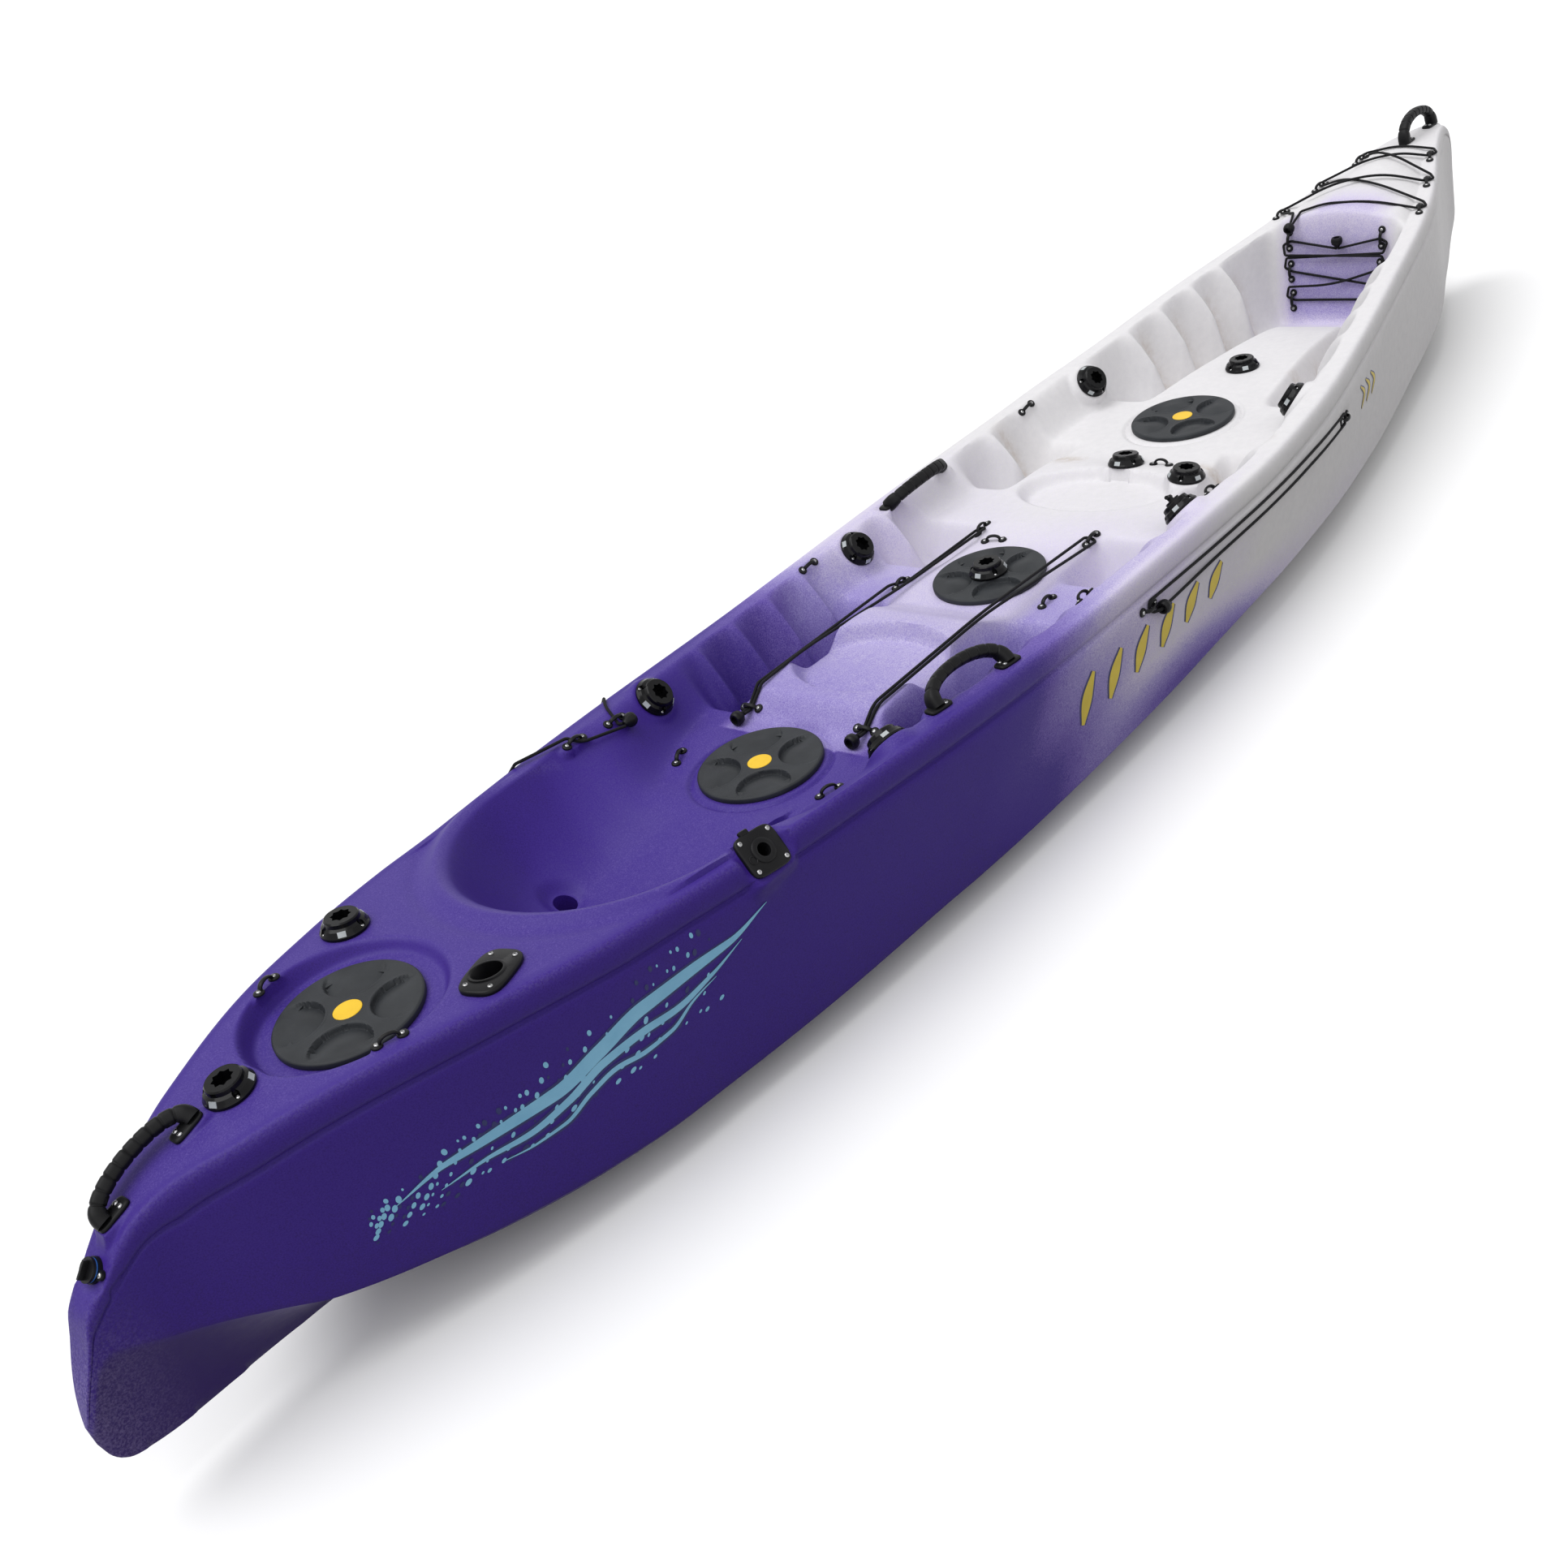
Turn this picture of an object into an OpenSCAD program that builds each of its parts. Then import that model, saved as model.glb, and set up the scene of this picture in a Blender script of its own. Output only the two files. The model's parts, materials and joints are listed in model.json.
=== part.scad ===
// Sit-on-top tandem kayak: a hollow moulded hull with screw hatches, handles,
// accessory sockets, padeyes, a rod holder, a drain bung and elastic cords.
// X runs to the bow, Y to port and Z up from the keel strip.

/* [Hull] */
// Length over all
hull_length = 4430; // [4200:10:4700]
// Beam over the gunwales
beam = 780; // [740:5:840]
// Depth factor of the lines, in percent of the drawn depth
depth_percent = 100; // [92:1:110]
// Wall thickness of the moulding
wall = 4; // [3.5:0.5:6]
// Width of the rounded gunwale rim, seen from above
rim_width = 44; // [36:1:52]
// Half width of the flat keel strip that the boat rests on
keel_flat = 38; // [28:1:48]
// Share of the gunwale's half breadth at the chine crease
chine_share = 0.95; // [0.92:0.01:0.97]
// Radius of the scupper holes
scupper_radius = 20; // [14:1:24]

/* [Cockpit] */
// Centre of the rear seat bowl, from amidships
bowl_x = -1095; // [-1130:5:-1060]
// Length of the bowl from its centre to its aft rim
bowl_length = 305; // [280:5:330]
// Top of the bow bulkhead, from amidships
bulkhead_x = 1535; // [1515:5:1555]
// Run of the bulkhead's slope
bulkhead_run = 70; // [60:2:90]
// Width of the rounded edge along the middle ridge
ridge_edge = 45; // [35:1:60]
// Run of a footwell's sloping end
well_run = 70; // [50:5:80]
// Radius of the foot ribs on the walls
rib_radius = 17; // [13:1:22]
// Crown of the fore deck over its gunwales
bow_crown = 40; // [25:1:50]

/* [Hatches] */
// Diameter of the screw lids
lid_diameter = 228; // [216:2:236]
// Height of a lid above its seat
lid_height = 12; // [10:0.5:16]
// Thickness of the ring's flange
ring_flange = 3; // [2:0.5:4]
// Outer radius of the ring's collar
collar_radius = 94; // [88:1:98]
// Wall of the ring's collar
collar_wall = 5; // [3.5:0.5:7]
// Depth of the ring's collar below the seat
collar_depth = 30; // [24:1:40]
// Running clearance between the spigot and the collar
spigot_gap = 1; // [0.6:0.1:1.6]
// Wall of the lid's spigot
spigot_wall = 4; // [3:0.5:6]
// Depth of the lid's spigot below the flange
spigot_depth = 18; // [14:1:22]
// Radius of the disc at the lid's middle
disc_radius = 22; // [16:1:26]

/* [Sockets] */
// Foot radius of the accessory sockets
puck_radius = 39; // [36:1:44]
// Height of the accessory sockets
puck_height = 25; // [22:1:30]
// Outer radius of the star opening
star_radius = 17; // [14:0.5:18]
// Depth of the star opening
star_depth = 17; // [12:1:19]

/* [Deck fittings] */
// Distance between a padeye's two screws
padeye_span = 38; // [34:1:44]
// Radius of a padeye's feet
padeye_foot = 8; // [7:0.5:9]
// Height of a padeye's feet
foot_height = 4; // [3:0.5:5]
// Radius of the padeye's bow
padeye_wire = 2.5; // [2:0.1:2.8]
// Length of a side handle between its feet
handle_span = 150; // [140:2:170]
// Rise of a side handle over its feet
handle_rise = 56; // [46:1:62]
// Length of an end handle between its feet
end_span = 112; // [104:2:124]
// Rise of an end handle over its feet
end_rise = 58; // [50:1:66]
// Thickness of the grip
grip_diameter = 24; // [20:1:28]
// Number of raised segments on the grip
grip_segments = 9; // [7:1:11]
// Diameter of the elastic cord
cord_diameter = 6; // [4:0.5:7]
// Radius of the cord's ball knobs
knob_radius = 14; // [11:1:17]

/* [Rod holder and gunwale plate] */
// Inner radius of the rod tube
rod_radius = 21; // [19:0.5:23]
// Wall of the rod tube
rod_wall = 3; // [2:0.5:4]
// Length of the rod tube below the flange
rod_depth = 200; // [160:5:220]
// Rake of the rod tube from upright, in degrees
rod_rake = 30; // [20:1:36]
// Length of the rod holder's flange
rod_flange_l = 108; // [100:1:116]
// Width of the rod holder's flange
rod_flange_w = 74; // [66:1:80]
// Side of the gunwale plate
plate_side = 78; // [72:1:84]
// Radius of the gunwale plate's socket
plate_bore = 11; // [9:0.5:13]
// Depth of the gunwale plate's socket
plate_depth = 40; // [30:1:50]

/* [Drain] */
// Radius of the drain opening
drain_radius = 13; // [11:0.5:15]
// Distance between the drain flange's screws
drain_span = 40; // [38:1:46]

/* [Fits] */
// Clearance between a fitting and the seat under it
seat_gap = 0.2; // [0.1:0.05:0.4]
// Clearance round a screw or an inlaid piece
inlay_gap = 0.3; // [0.2:0.05:0.5]
// Clearance between bodies that move against each other
move_gap = 0.4; // [0.3:0.05:0.6]

/* [Hidden] */
$fn = 48;

// Scale of the drawn lines
drawn_length = 4430;
drawn_beam = 780;
kx = hull_length / drawn_length;
ky = beam / drawn_beam;
kz = depth_percent / 100;

// Table of offsets: [station from amidships, value in mm]
BREADTH = [[-2215, 22], [-2060, 44], [-1910, 105], [-1660, 197], [-1360, 270], [-960, 330],
  [-460, 367], [0, 385], [320, 390], [620, 374], [960, 326], [1340, 258], [1680, 184],
  [1980, 78], [2130, 30], [2215, 14]];
SHEER = [[-2215, 140], [-2195, 262], [-2170, 312], [-2120, 370], [-2060, 415], [-1960, 444],
  [-1760, 458], [-1560, 446], [-1310, 421], [-860, 388], [-410, 359], [0, 347], [440, 338],
  [790, 348], [1240, 382], [1540, 402], [1840, 440], [2010, 462], [2100, 458], [2155, 436],
  [2190, 385], [2208, 310], [2215, 240]];
KEEL = [[-2215, 118], [-2195, 88], [-2150, 74], [-2000, 66], [-1880, 58], [-1660, 36],
  [-1160, 8], [-760, 0], [1150, 0], [1500, 8], [1840, 34], [2040, 74], [2140, 122],
  [2190, 170], [2215, 215]];
CHINE = [[-2215, 128], [-2190, 185], [-2100, 198], [-1910, 180], [-1660, 138], [-1410, 112],
  [-1000, 96], [900, 96], [1500, 106], [1900, 135], [2150, 190], [2215, 228]];
// Height of the middle ridge along the centreline, and of the footwell floors
SPINE = [[-1410, 252], [-1215, 240], [-1110, 244], [-1000, 264], [-910, 286], [-665, 286],
  [-600, 322], [-520, 322], [-330, 316], [-290, 312], [-225, 284], [-190, 274], [60, 274],
  [150, 284], [220, 280], [450, 266], [520, 255], [950, 255], [1100, 250], [1240, 238],
  [1330, 222], [1390, 185], [1460, 175], [1600, 175]];
WELL = [[-700, 185], [-600, 170], [-150, 172], [0, 185], [300, 182], [800, 180], [1400, 172],
  [1600, 174]];
SPINE_WIDTH = [[-700, 175], [-500, 162], [-250, 152], [-160, 165], [100, 152], [300, 215],
  [450, 212], [600, 185], [900, 150], [1100, 122], [1300, 102], [1400, 92]];
WALL_RUN = [[-1100, 190], [-900, 150], [-700, 80], [-500, 75], [900, 75], [1200, 65], [1500, 60]];
// Footwells: [aft end, forward end]
WELLS = [[-660, -190], [-60, 130], [290, 590], [800, 1700]];
// Foot ribs on the outer walls of the wells
RIBS = [-590, -480, -370, -260, 30, 440, 960, 1080, 1200, 1310];
// Seat dishes on the ridge: [centre, half length, half width, depth]
DISHES = [[-448, 130, 170, 16], [335, 115, 185, 12]];
// Scuppers: [station, distance from the centreline]
SCUPPERS = [[-1185, 118], [-420, 250], [1240, 165]];

// Hatches: [station, seat height, radius of the moulded recess]
HATCHES = [[-1660, 425, 148], [-784, 286, 122], [-64, 274, 118], [715, 255, 122]];
opening_radius = collar_radius + inlay_gap;

// Accessory sockets on the deck: [station, distance to port, spin]
PUCKS = [[-1859, 0, 20], [-1536, 162, 50], [-745, 276, 10], [-745, -276, 60], [-94, 305, 80],
  [775, 266, 30], [474, 5, 0], [416, -174, 70], [182, -301, 30], [1008, 5, 40], [720, -272, 20]];
locked_puck = 8;

// Padeyes: [station, distance to port, spin]
DECK_PADEYES = [[-1690, 150, 20], [-1690, -150, -20], [-810, 178, 25], [-810, -178, -25],
  [-128, 176, 0], [-128, -176, 0], [108, 132, 0], [108, -132, 0], [-222, 326, 0],
  [-202, -318, 0], [486, -74, 90], [582, 319, 0], [272, -316, 0], [-949, 270, 0],
  [-642, 140, 90], [-642, -132, 90], [-852, 268, 0], [76, 84, -72]];
BOW_PADEYES = [[1600, 180, -20], [1600, -180, 20], [1742, 140, -20], [1742, -140, 20],
  [1880, 92, -20], [1880, -92, 20]];
BULKHEAD_PADEYES = [[1516, 120, 0], [1516, -120, 0], [1501, 116, 0], [1501, -116, 0],
  [1487, 111, 0], [1487, -111, 0]];
// Padeyes on the starboard side: [station, height, spin]
SIDE_PADEYES = [[-100, 272, 0], [780, 246, 0]];

// Carry handles: [station, distance to port, heading]
STERN_HANDLE = [-2000, 0, 0];
BOW_HANDLE = [2030, 0, 0];
PORT_HANDLE = [158, 334, 0];
STARBOARD_HANDLE = [-554, -318, -6];

// Rod holder, gunwale plate and drain: [station, distance to port]
ROD_HOLDER = [-1518, -166];
rod_spin = -18;
PLATE = [-1090, -296, 388];
plate_tilt = 48;
DRAIN_X = -2122;

// Routes of the cords, and their knobs as [front, heading, pitch]
PORT_DECK_ROUTE = [
  [-667, 143.5, 300.5], [-648.5, 143.5, 298], [-637.5, 144, 305], [-604, 147, 328],
  [-150, 189, 282], [-132, 182, 278], [-118, 163, 279], [103.5, 145, 281], [108.5, 133, 285],
  [103, 121, 288], [-128, 153, 283], [-470, 147, 322], [-604, 137, 329], [-637.5, 137, 305.5],
  [-648.5, 137, 298.5], [-667, 136.5, 300.5]];
STARBOARD_DECK_ROUTE = [
  [-667, -128.5, 300.5], [-648.5, -128.5, 298.5], [-637.5, -128.5, 305.5], [-604, -128, 329],
  [-270, -128, 323], [103, -121, 288], [108.5, -133, 285], [103.5, -145, 281], [-270, -138, 323],
  [-604, -138, 329], [-637.5, -135.5, 305.5], [-648.5, -135.5, 298.5], [-667, -135.5, 300.5]];
PORT_KEEPER_ROUTE = [
  [-852, 250, 374], [-858, 253, 376], [-851.5, 265.5, 379.5], [-838, 300, 393], [-815, 327, 392],
  [-805, 349, 372], [-830, 346.5, 352], [-930, 338, 360], [-1040, 326, 367], [-1066, 322.5, 388],
  [-1060, 302, 410], [-956, 279.5, 402.5], [-948.5, 268.5, 394.5], [-937, 256.5, 388.5],
  [-852, 243, 370]];
STARBOARD_KEEPER_ROUTE = [
  [-53, -392, 259], [140, -386.5, 252], [330, -388, 247], [470, -383, 243], [640, -369.5, 238],
  [776, -351.5, 233.5], [781, -351.5, 246], [776, -353, 258.5], [640, -371.5, 263],
  [470, -385, 268], [330, -390, 272], [140, -388.5, 277], [-96, -381.5, 284.5],
  [-101, -380.5, 272], [-94, -382.5, 259], [-80, -392, 259], [-74, -392, 259]];
BOW_ROUTE = [
  [1508, 104, 417], [1545, 98, 435], [1560, 40, 448], [1575, -70, 445], [1599.5, -177, 413],
  [1614.5, -191, 414], [1635, -176, 417], [1652, -58, 460], [1694, 46, 465], [1741.5, 137, 432],
  [1756.5, 151.5, 433], [1776.5, 136, 437], [1800, 36, 475], [1838, -34, 475], [1879, -89, 451],
  [1894.5, -103.5, 453], [1914.5, -88, 457], [1914, 0, 471], [1914.5, 88, 457],
  [1894.5, 103.5, 453], [1879, 89, 451], [1838, 34, 482], [1800, -36, 482], [1776.5, -136, 437],
  [1756.5, -151.5, 433], [1741.5, -137, 432], [1694, -46, 472], [1652, 58, 467], [1635, 176, 417],
  [1614.5, 191, 414], [1599.5, 177, 413], [1545, 118, 432], [1508, 110, 418]];
BULKHEAD_ROUTE = [
  [1495, -15.5, 356.5], [1512, -117, 372.5], [1508.5, -135.5, 363.5], [1497.5, -128, 341],
  [1497, 124.5, 334.5], [1497, 131.5, 309.5], [1497, 112.5, 299.5], [1484, -119.5, 264.5],
  [1483.5, -126.5, 239.5], [1483, -109, 230.5], [1480.5, 0, 232], [1483, 109, 230.5], [1483.5, 126.5, 239.5],
  [1484, 119.5, 264.5], [1477, 0, 271], [1497, -112.5, 299.5], [1497, -131.5, 309.5],
  [1497, -124.5, 334.5], [1486, 0, 342], [1497.5, 128, 341], [1508.5, 135.5, 363.5],
  [1512, 117, 372.5], [1495, -12.5, 356.5]];
KNOBS = [[[-667.5, 140, 300.5], 0, 0], [[-667.5, -132, 300.5], 0, 0], [[-851, 245.5, 373], 180, 0],
  [[-54, -392, 259], 0, 0], [[1507, 107, 417], 0, -23], [[1495, -14, 360], 0, 90]];

screw_head = 4;
screw_shank = 2.2;
probe = 24;

// Cubic curve through a table of offsets, without overshoot
function slope(t, i) = (t[i + 1][1] - t[i][1]) / (t[i + 1][0] - t[i][0]);
function bend(a, b) = a * b <= 0 ? 0 : 2 * a * b / (a + b);
function tangent(t, i) =
  i == 0 ? slope(t, 0)
  : i == len(t) - 1 ? slope(t, i - 1)
  : bend(slope(t, i - 1), slope(t, i));
function fair(t, x) =
  let (
    last = len(t) - 1,
    v = min(max(x, t[0][0]), t[last][0]),
    i = min(last - 1, len([for (p = t) if (p[0] <= v) 1]) - 1),
    h = t[i + 1][0] - t[i][0],
    u = (v - t[i][0]) / h,
    w = 1 - u
  )
  t[i][1] * (1 + 2 * u) * w * w + t[i + 1][1] * (3 - 2 * u) * u * u
  + h * u * w * (tangent(t, i) * w - tangent(t, i + 1) * u);

function clamp(v) = min(1, max(0, v));
function smooth(a, b, v) = let (t = clamp((v - a) / (b - a))) t * t * (3 - 2 * t);

// Lines of the hull at station x
stem_round = 45;
stem_blunt = 0.15;
function end_round(x) =
  let (d = clamp((hull_length / 2 - abs(x)) / stem_round))
  max(stem_blunt, sqrt(1 - (1 - d) * (1 - d)));
function half_breadth(x) = ky * fair(BREADTH, x / kx) * end_round(x);
function sheer(x) = kz * fair(SHEER, x / kx);
function keel(x) = kz * fair(KEEL, x / kx);
function chine(x) = kz * fair(CHINE, x / kx);
function rim(x) = min(rim_width, 0.35 * half_breadth(x));
function wall_run(x) = fair(WALL_RUN, x / kx);

// How far the cockpit is let into the deck at a point, from 0 to 1
function side_share(x, y) = smooth(0, wall_run(x), half_breadth(x) - rim(x) - y);
function bowl_share(x, y) =
  let (half = half_breadth(kx * bowl_x) - rim_width)
  smooth(0, wall_run(kx * bowl_x) / half,
    1 - norm([(x - kx * bowl_x) / (kx * bowl_length), y / half]));
function cockpit(x, y) =
  (x < kx * bowl_x ? bowl_share(x, y) : side_share(x, y))
  * smooth(0, bulkhead_run, kx * bulkhead_x - x);

// Floor of the cockpit: the middle ridge, its seat dishes and the footwells
function dish(d, x, y) =
  d[3] * smooth(1, 0.72, norm([(x - kx * d[0]) / (kx * d[1]), y / (ky * d[2])]));
function ridge(x, y) =
  kz * fair(SPINE, x / kx) - dish(DISHES[0], x, y) - dish(DISHES[1], x, y);
function in_well(x) =
  max([for (w = WELLS)
    smooth(kx * w[0], kx * w[0] + well_run, x) * smooth(kx * w[1], kx * w[1] - well_run, x)]);
function spine_width(x) = ky * fair(SPINE_WIDTH, x / kx);
function floor_height(x, y) =
  let (
    top = ridge(x, y),
    h = spine_width(x),
    share = in_well(x) * smooth(h - ridge_edge / 2, h + ridge_edge / 2, y)
  )
  top - (top - kz * fair(WELL, x / kx)) * share;
function crown(x, y) =
  let (
    half = half_breadth(x) - rim(x),
    rise = smooth(kx * 1420, kx * 1560, x) * smooth(kx * 2010, kx * 1740, x)
  )
  rise == 0 ? 0 : kz * bow_crown * rise * (1 - min(1, pow(y / half, 2)));
function deck(x, y) =
  let (a = abs(y), s = sheer(x), share = cockpit(x, a))
  share == 0 ? s + crown(x, a) : (s + crown(x, a)) * (1 - share) + floor_height(x, a) * share;

// Deck seen from inside the wall: the lowest height within one wall thickness
function under_deck(x, y) =
  min([deck(x, y), deck(x, abs(y) + wall), deck(x, max(0, abs(y) - wall)), deck(x - wall, y),
    deck(x + wall, y)]) - wall;

// Rise of the bottom from the keel, 0, to the chine, 1: a deep keel aft, a round bilge elsewhere
function bilge(t) = 0.12 * t + 0.88 * pow(t, 8);
function bottom_rise(x, t) =
  let (deep = smooth(kx * -1350, kx * -1950, x), sharp = smooth(kx * 1500, kx * 2100, x))
  (1 - max(deep, sharp)) * bilge(t) + deep * pow(t, 0.6) + sharp * pow(t, 0.9);

// Feature lines of the deck at station x, from the rim to the centreline
function deck_lines(x) =
  let (
    y1 = half_breadth(x) - rim(x),
    y2 = y1 - min(wall_run(x), 0.7 * y1),
    h = spine_width(x),
    y3 = min(h + ridge_edge / 2, 0.85 * y2),
    y4 = min(h - ridge_edge / 2, 0.6 * y2)
  )
  concat([for (f = [0, 0.25, 0.5, 0.75]) y1 + (y2 - y1) * f], [y2, y3, y4, 0]);

// Half section from the keel over the side to the middle of the deck, as [y, z]
function outer_half(x) =
  let (
    b = half_breadth(x),
    s = sheer(x),
    k = keel(x),
    c = chine(x),
    cb = chine_share * b,
    flat = min(keel_flat, 0.3 * cb) / cb,
    q = min(1, (s - c) / 150, b / 60)
  )
  concat(
    [for (t = [0, flat, 0.6, 0.85, 1]) [t * cb, k + (c - k) * (t <= flat ? 0 : bottom_rise(x, t))]],
    [[(cb + b) / 2 - 2 * q, (c + s) / 2 - 30 * q]],
    [[b - 5 * q, s - 64 * q], [b - 9 * q, s - 52 * q], [b, s - 42 * q], [b - 2 * q, s - 14 * q]],
    [[b - min(14 * q, 0.3 * b), s]],
    [for (y = deck_lines(x)) [y, deck(x, y)]]);
function inner_half(x) =
  let (
    b = half_breadth(x) - wall,
    s = sheer(x) - wall,
    k = keel(x) + wall,
    c = chine(x) + wall,
    cb = chine_share * half_breadth(x) - wall - 2
  )
  concat(
    [for (t = [0, 0.6, 0.85, 1]) [t * cb, k + (c - k) * bottom_rise(x, t)]],
    [[b - 11, s - 60], [b - 6, s - 14]],
    [for (y = deck_lines(x)) [y, under_deck(x, y)]]);

// Closed skin lofted through half sections at the given stations
function whole(half) =
  let (n = len(half))
  concat(half, [for (i = [n - 2:-1:1]) [-half[i][0], half[i][1]]]);
module loft(xs, halves) {
  rings = [for (half = halves) whole(half)];
  m = len(rings[0]);
  last = len(xs) - 1;
  points = [for (i = [0:last]) for (p = rings[i]) [xs[i], p[0], p[1]]];
  skin = [for (i = [0:last - 1]) for (j = [0:m - 1])
    let (a = i * m + j, b = i * m + (j + 1) % m, c = b + m, d = a + m)
    each [[a, c, b], [a, d, c]]];
  stern = [for (j = [1:m - 2]) [0, j, j + 1]];
  bow = [for (j = [1:m - 2]) [last * m, last * m + j + 1, last * m + j]];
  polyhedron(points, concat(skin, stern, bow), convexity = 12);
}

// Stations of the skins, close together where the lines turn fast
end_steps = [0, 6, 25, 60, 120, 200];
aft_stations = [for (d = end_steps) d - drawn_length / 2];
fore_stations = [for (i = [len(end_steps) - 1:-1:0]) drawn_length / 2 - end_steps[i]];
outer_stations = kx * concat(aft_stations, [for (x = [-1915:118:-1440]) x], [for (x = [-1400:66:-1000]) x],
  [-955, -910, -780, -660, -632, -600, -520, -430, -330, -265, -225, -190],
  [-60, -20, 20, 70, 110, 150, 220, 290, 370, 510, 590, 715, 800, 880],
  [for (x = [970:86:1420]) x], [1465, 1488, 1512, 1536], [1600, 1720, 1840, 1940], fore_stations);
stem_fill = 60;
inner_stations = [for (x = outer_stations) if (abs(x) < hull_length / 2 - stem_fill) x];

module outer_form() {
  loft(outer_stations, [for (x = outer_stations) outer_half(x)]);
}
module inner_form() {
  loft(inner_stations, [for (x = inner_stations) inner_half(x)]);
}

// Places its children on the deck, upright on the surface there and just clear of it under their feet
module on_deck(p, feet, reach = probe) {
  x = kx * p[0];
  y = ky * p[1];
  nx = (deck(x - reach, y) - deck(x + reach, y)) / (2 * reach);
  ny = (deck(x, y - reach) - deck(x, y + reach)) / (2 * reach);
  lean = atan2(ny, nx);
  z = max([for (f = feet)
    let (u = f[0] * cos(p[2]) - f[1] * sin(p[2]), v = f[0] * sin(p[2]) + f[1] * cos(p[2]))
    deck(x + u, y + v) + nx * u + ny * v]);
  translate([x, y, z])
    rotate([0, 0, lean])
      rotate([0, atan(norm([nx, ny])), 0])
        rotate([0, 0, p[2] - lean])
          children();
}
puck_feet = [for (a = [0:45:315]) puck_radius * [cos(a), sin(a)]];
padeye_feet = [for (end = [-1, 1], a = [0:90:270]) [end * padeye_span / 2 + 6 * cos(a), 6 * sin(a)]];
rod_feet = [for (u = [-0.5, 0.5], v = [-0.5, 0, 0.5]) [u * rod_flange_l, v * rod_flange_w]];
drain_feet = [for (u = [-0.5, 0, 0.5]) [0, u * drain_span]];
bulkhead_reach = 6;
drain_reach = 20;
module on_puck(p) {
  on_deck(p, puck_feet) children();
}
module on_padeye(p) {
  on_deck(p, padeye_feet) children();
}
module on_bulkhead(p) {
  on_deck(p, [[0, 0]], bulkhead_reach) children();
}
module on_rod_holder() {
  on_deck([ROD_HOLDER[0], ROD_HOLDER[1], rod_spin], rod_feet) children();
}
module on_drain() {
  on_deck([DRAIN_X, 0, 0], drain_feet, drain_reach) children();
}
// Places its children level across the boat, pitched like the deck along it
module on_rim(p, reach = probe) {
  x = kx * p[0];
  y = ky * p[1];
  low = deck(x - reach, y);
  high = deck(x + reach, y);
  translate([x, y, (low + high + 2 * deck(x, y)) / 4])
    rotate([0, -atan((high - low) / (2 * reach)), p[2]])
      children();
}
module on_plate() {
  translate([kx * PLATE[0], ky * PLATE[1], kz * PLATE[2]])
    rotate([plate_tilt, 0, 0])
      children();
}
// Places its children on the starboard side below the belt, outward along +Z
module on_side(p) {
  x = kx * p[0];
  z = kz * p[1];
  y = side_breadth(x, z);
  swing = atan((side_breadth(x + probe, z) - side_breadth(x - probe, z)) / (2 * probe));
  lean = atan((side_breadth(x, z + probe) - side_breadth(x, z - probe)) / (2 * probe));
  translate([x, -y, z])
    rotate([0, 0, -swing])
      rotate([90 + lean, 0, 0])
        rotate([0, 0, p[2]])
          children();
}
// Half breadth of the side at a height between the chine and the belt
function side_breadth(x, z) =
  let (b = half_breadth(x), c = chine(x), share = clamp((z - c) / (sheer(x) - 64 - c)))
  chine_share * b + (b - 5 - chine_share * b) * share;

// Seats of the fittings, drawn from a low to a high level: bosses on the hull and clear space over them
boss_depth = 14;
boss_margin = 3;
clear_margin = 1;
clear_height = 30;
handle_tab = 52;
cup_drop = 2;
grip_core = grip_diameter / 2 - 2;
function tab_middle(span) = (span + handle_tab) / 2 - grip_core - 2;
module block(length, width, low, high) {
  translate([-length / 2, -width / 2, low]) cube([length, width, high - low]);
}
module seats(margin, low, high) {
  for (p = PUCKS)
    on_puck(p) translate([0, 0, low]) cylinder(r = puck_radius + margin, h = high - low, $fn = 16);
  for (h = HANDLES)
    on_handle(h)
      for (end = [-1, 1])
        translate([end * tab_middle(h[1]), 0, 0])
          block(handle_tab + 2 * margin, grip_diameter + 2 * margin, low, high);
  on_rod_holder()
    block(rod_flange_l + 2 * margin, rod_flange_w + 2 * margin, low, high);
  on_plate()
    block(plate_side + 2 * margin, plate_side + 2 * margin, low, high);
  on_drain()
    block(2 * drain_radius + 10 + 2 * margin, drain_span + 14 + 2 * margin, low, high);
}
module padeye_space() {
  length = padeye_span + 2 * padeye_foot + 2 * clear_margin;
  width = 2 * padeye_foot + 2 * clear_margin;
  for (p = concat(DECK_PADEYES, BOW_PADEYES))
    on_padeye(p) block(length, width, 0, clear_height);
  for (p = BULKHEAD_PADEYES)
    on_bulkhead(p) block(length, width, 0, clear_height);
  for (p = SIDE_PADEYES)
    on_side(p) block(length, width, 0, clear_height);
}

// Foot ribs: rounded gussets between the floor and the wall of a well
module foot_ribs() {
  for (x = kx * RIBS, side = [-1, 1]) {
    top = half_breadth(x) - rim(x) - 6;
    foot = max(top - wall_run(x) - 6, spine_width(x) + ridge_edge / 2);
    base = kz * fair(WELL, x / kx);
    hull() {
      translate([x, side * top, sheer(x) - 34]) sphere(rib_radius * 0.6, $fn = 6);
      translate([x, side * (foot + 14), base + 4]) sphere(rib_radius, $fn = 6);
      translate([x, side * foot, base - 6]) sphere(rib_radius, $fn = 6);
    }
  }
}
module scuppers(radius) {
  for (p = SCUPPERS, side = [-1, 1])
    translate([kx * p[0], side * ky * p[1], -1])
      cylinder(r = radius, h = deck(kx * p[0], ky * p[1]) + 40, $fn = 12);
}

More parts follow.
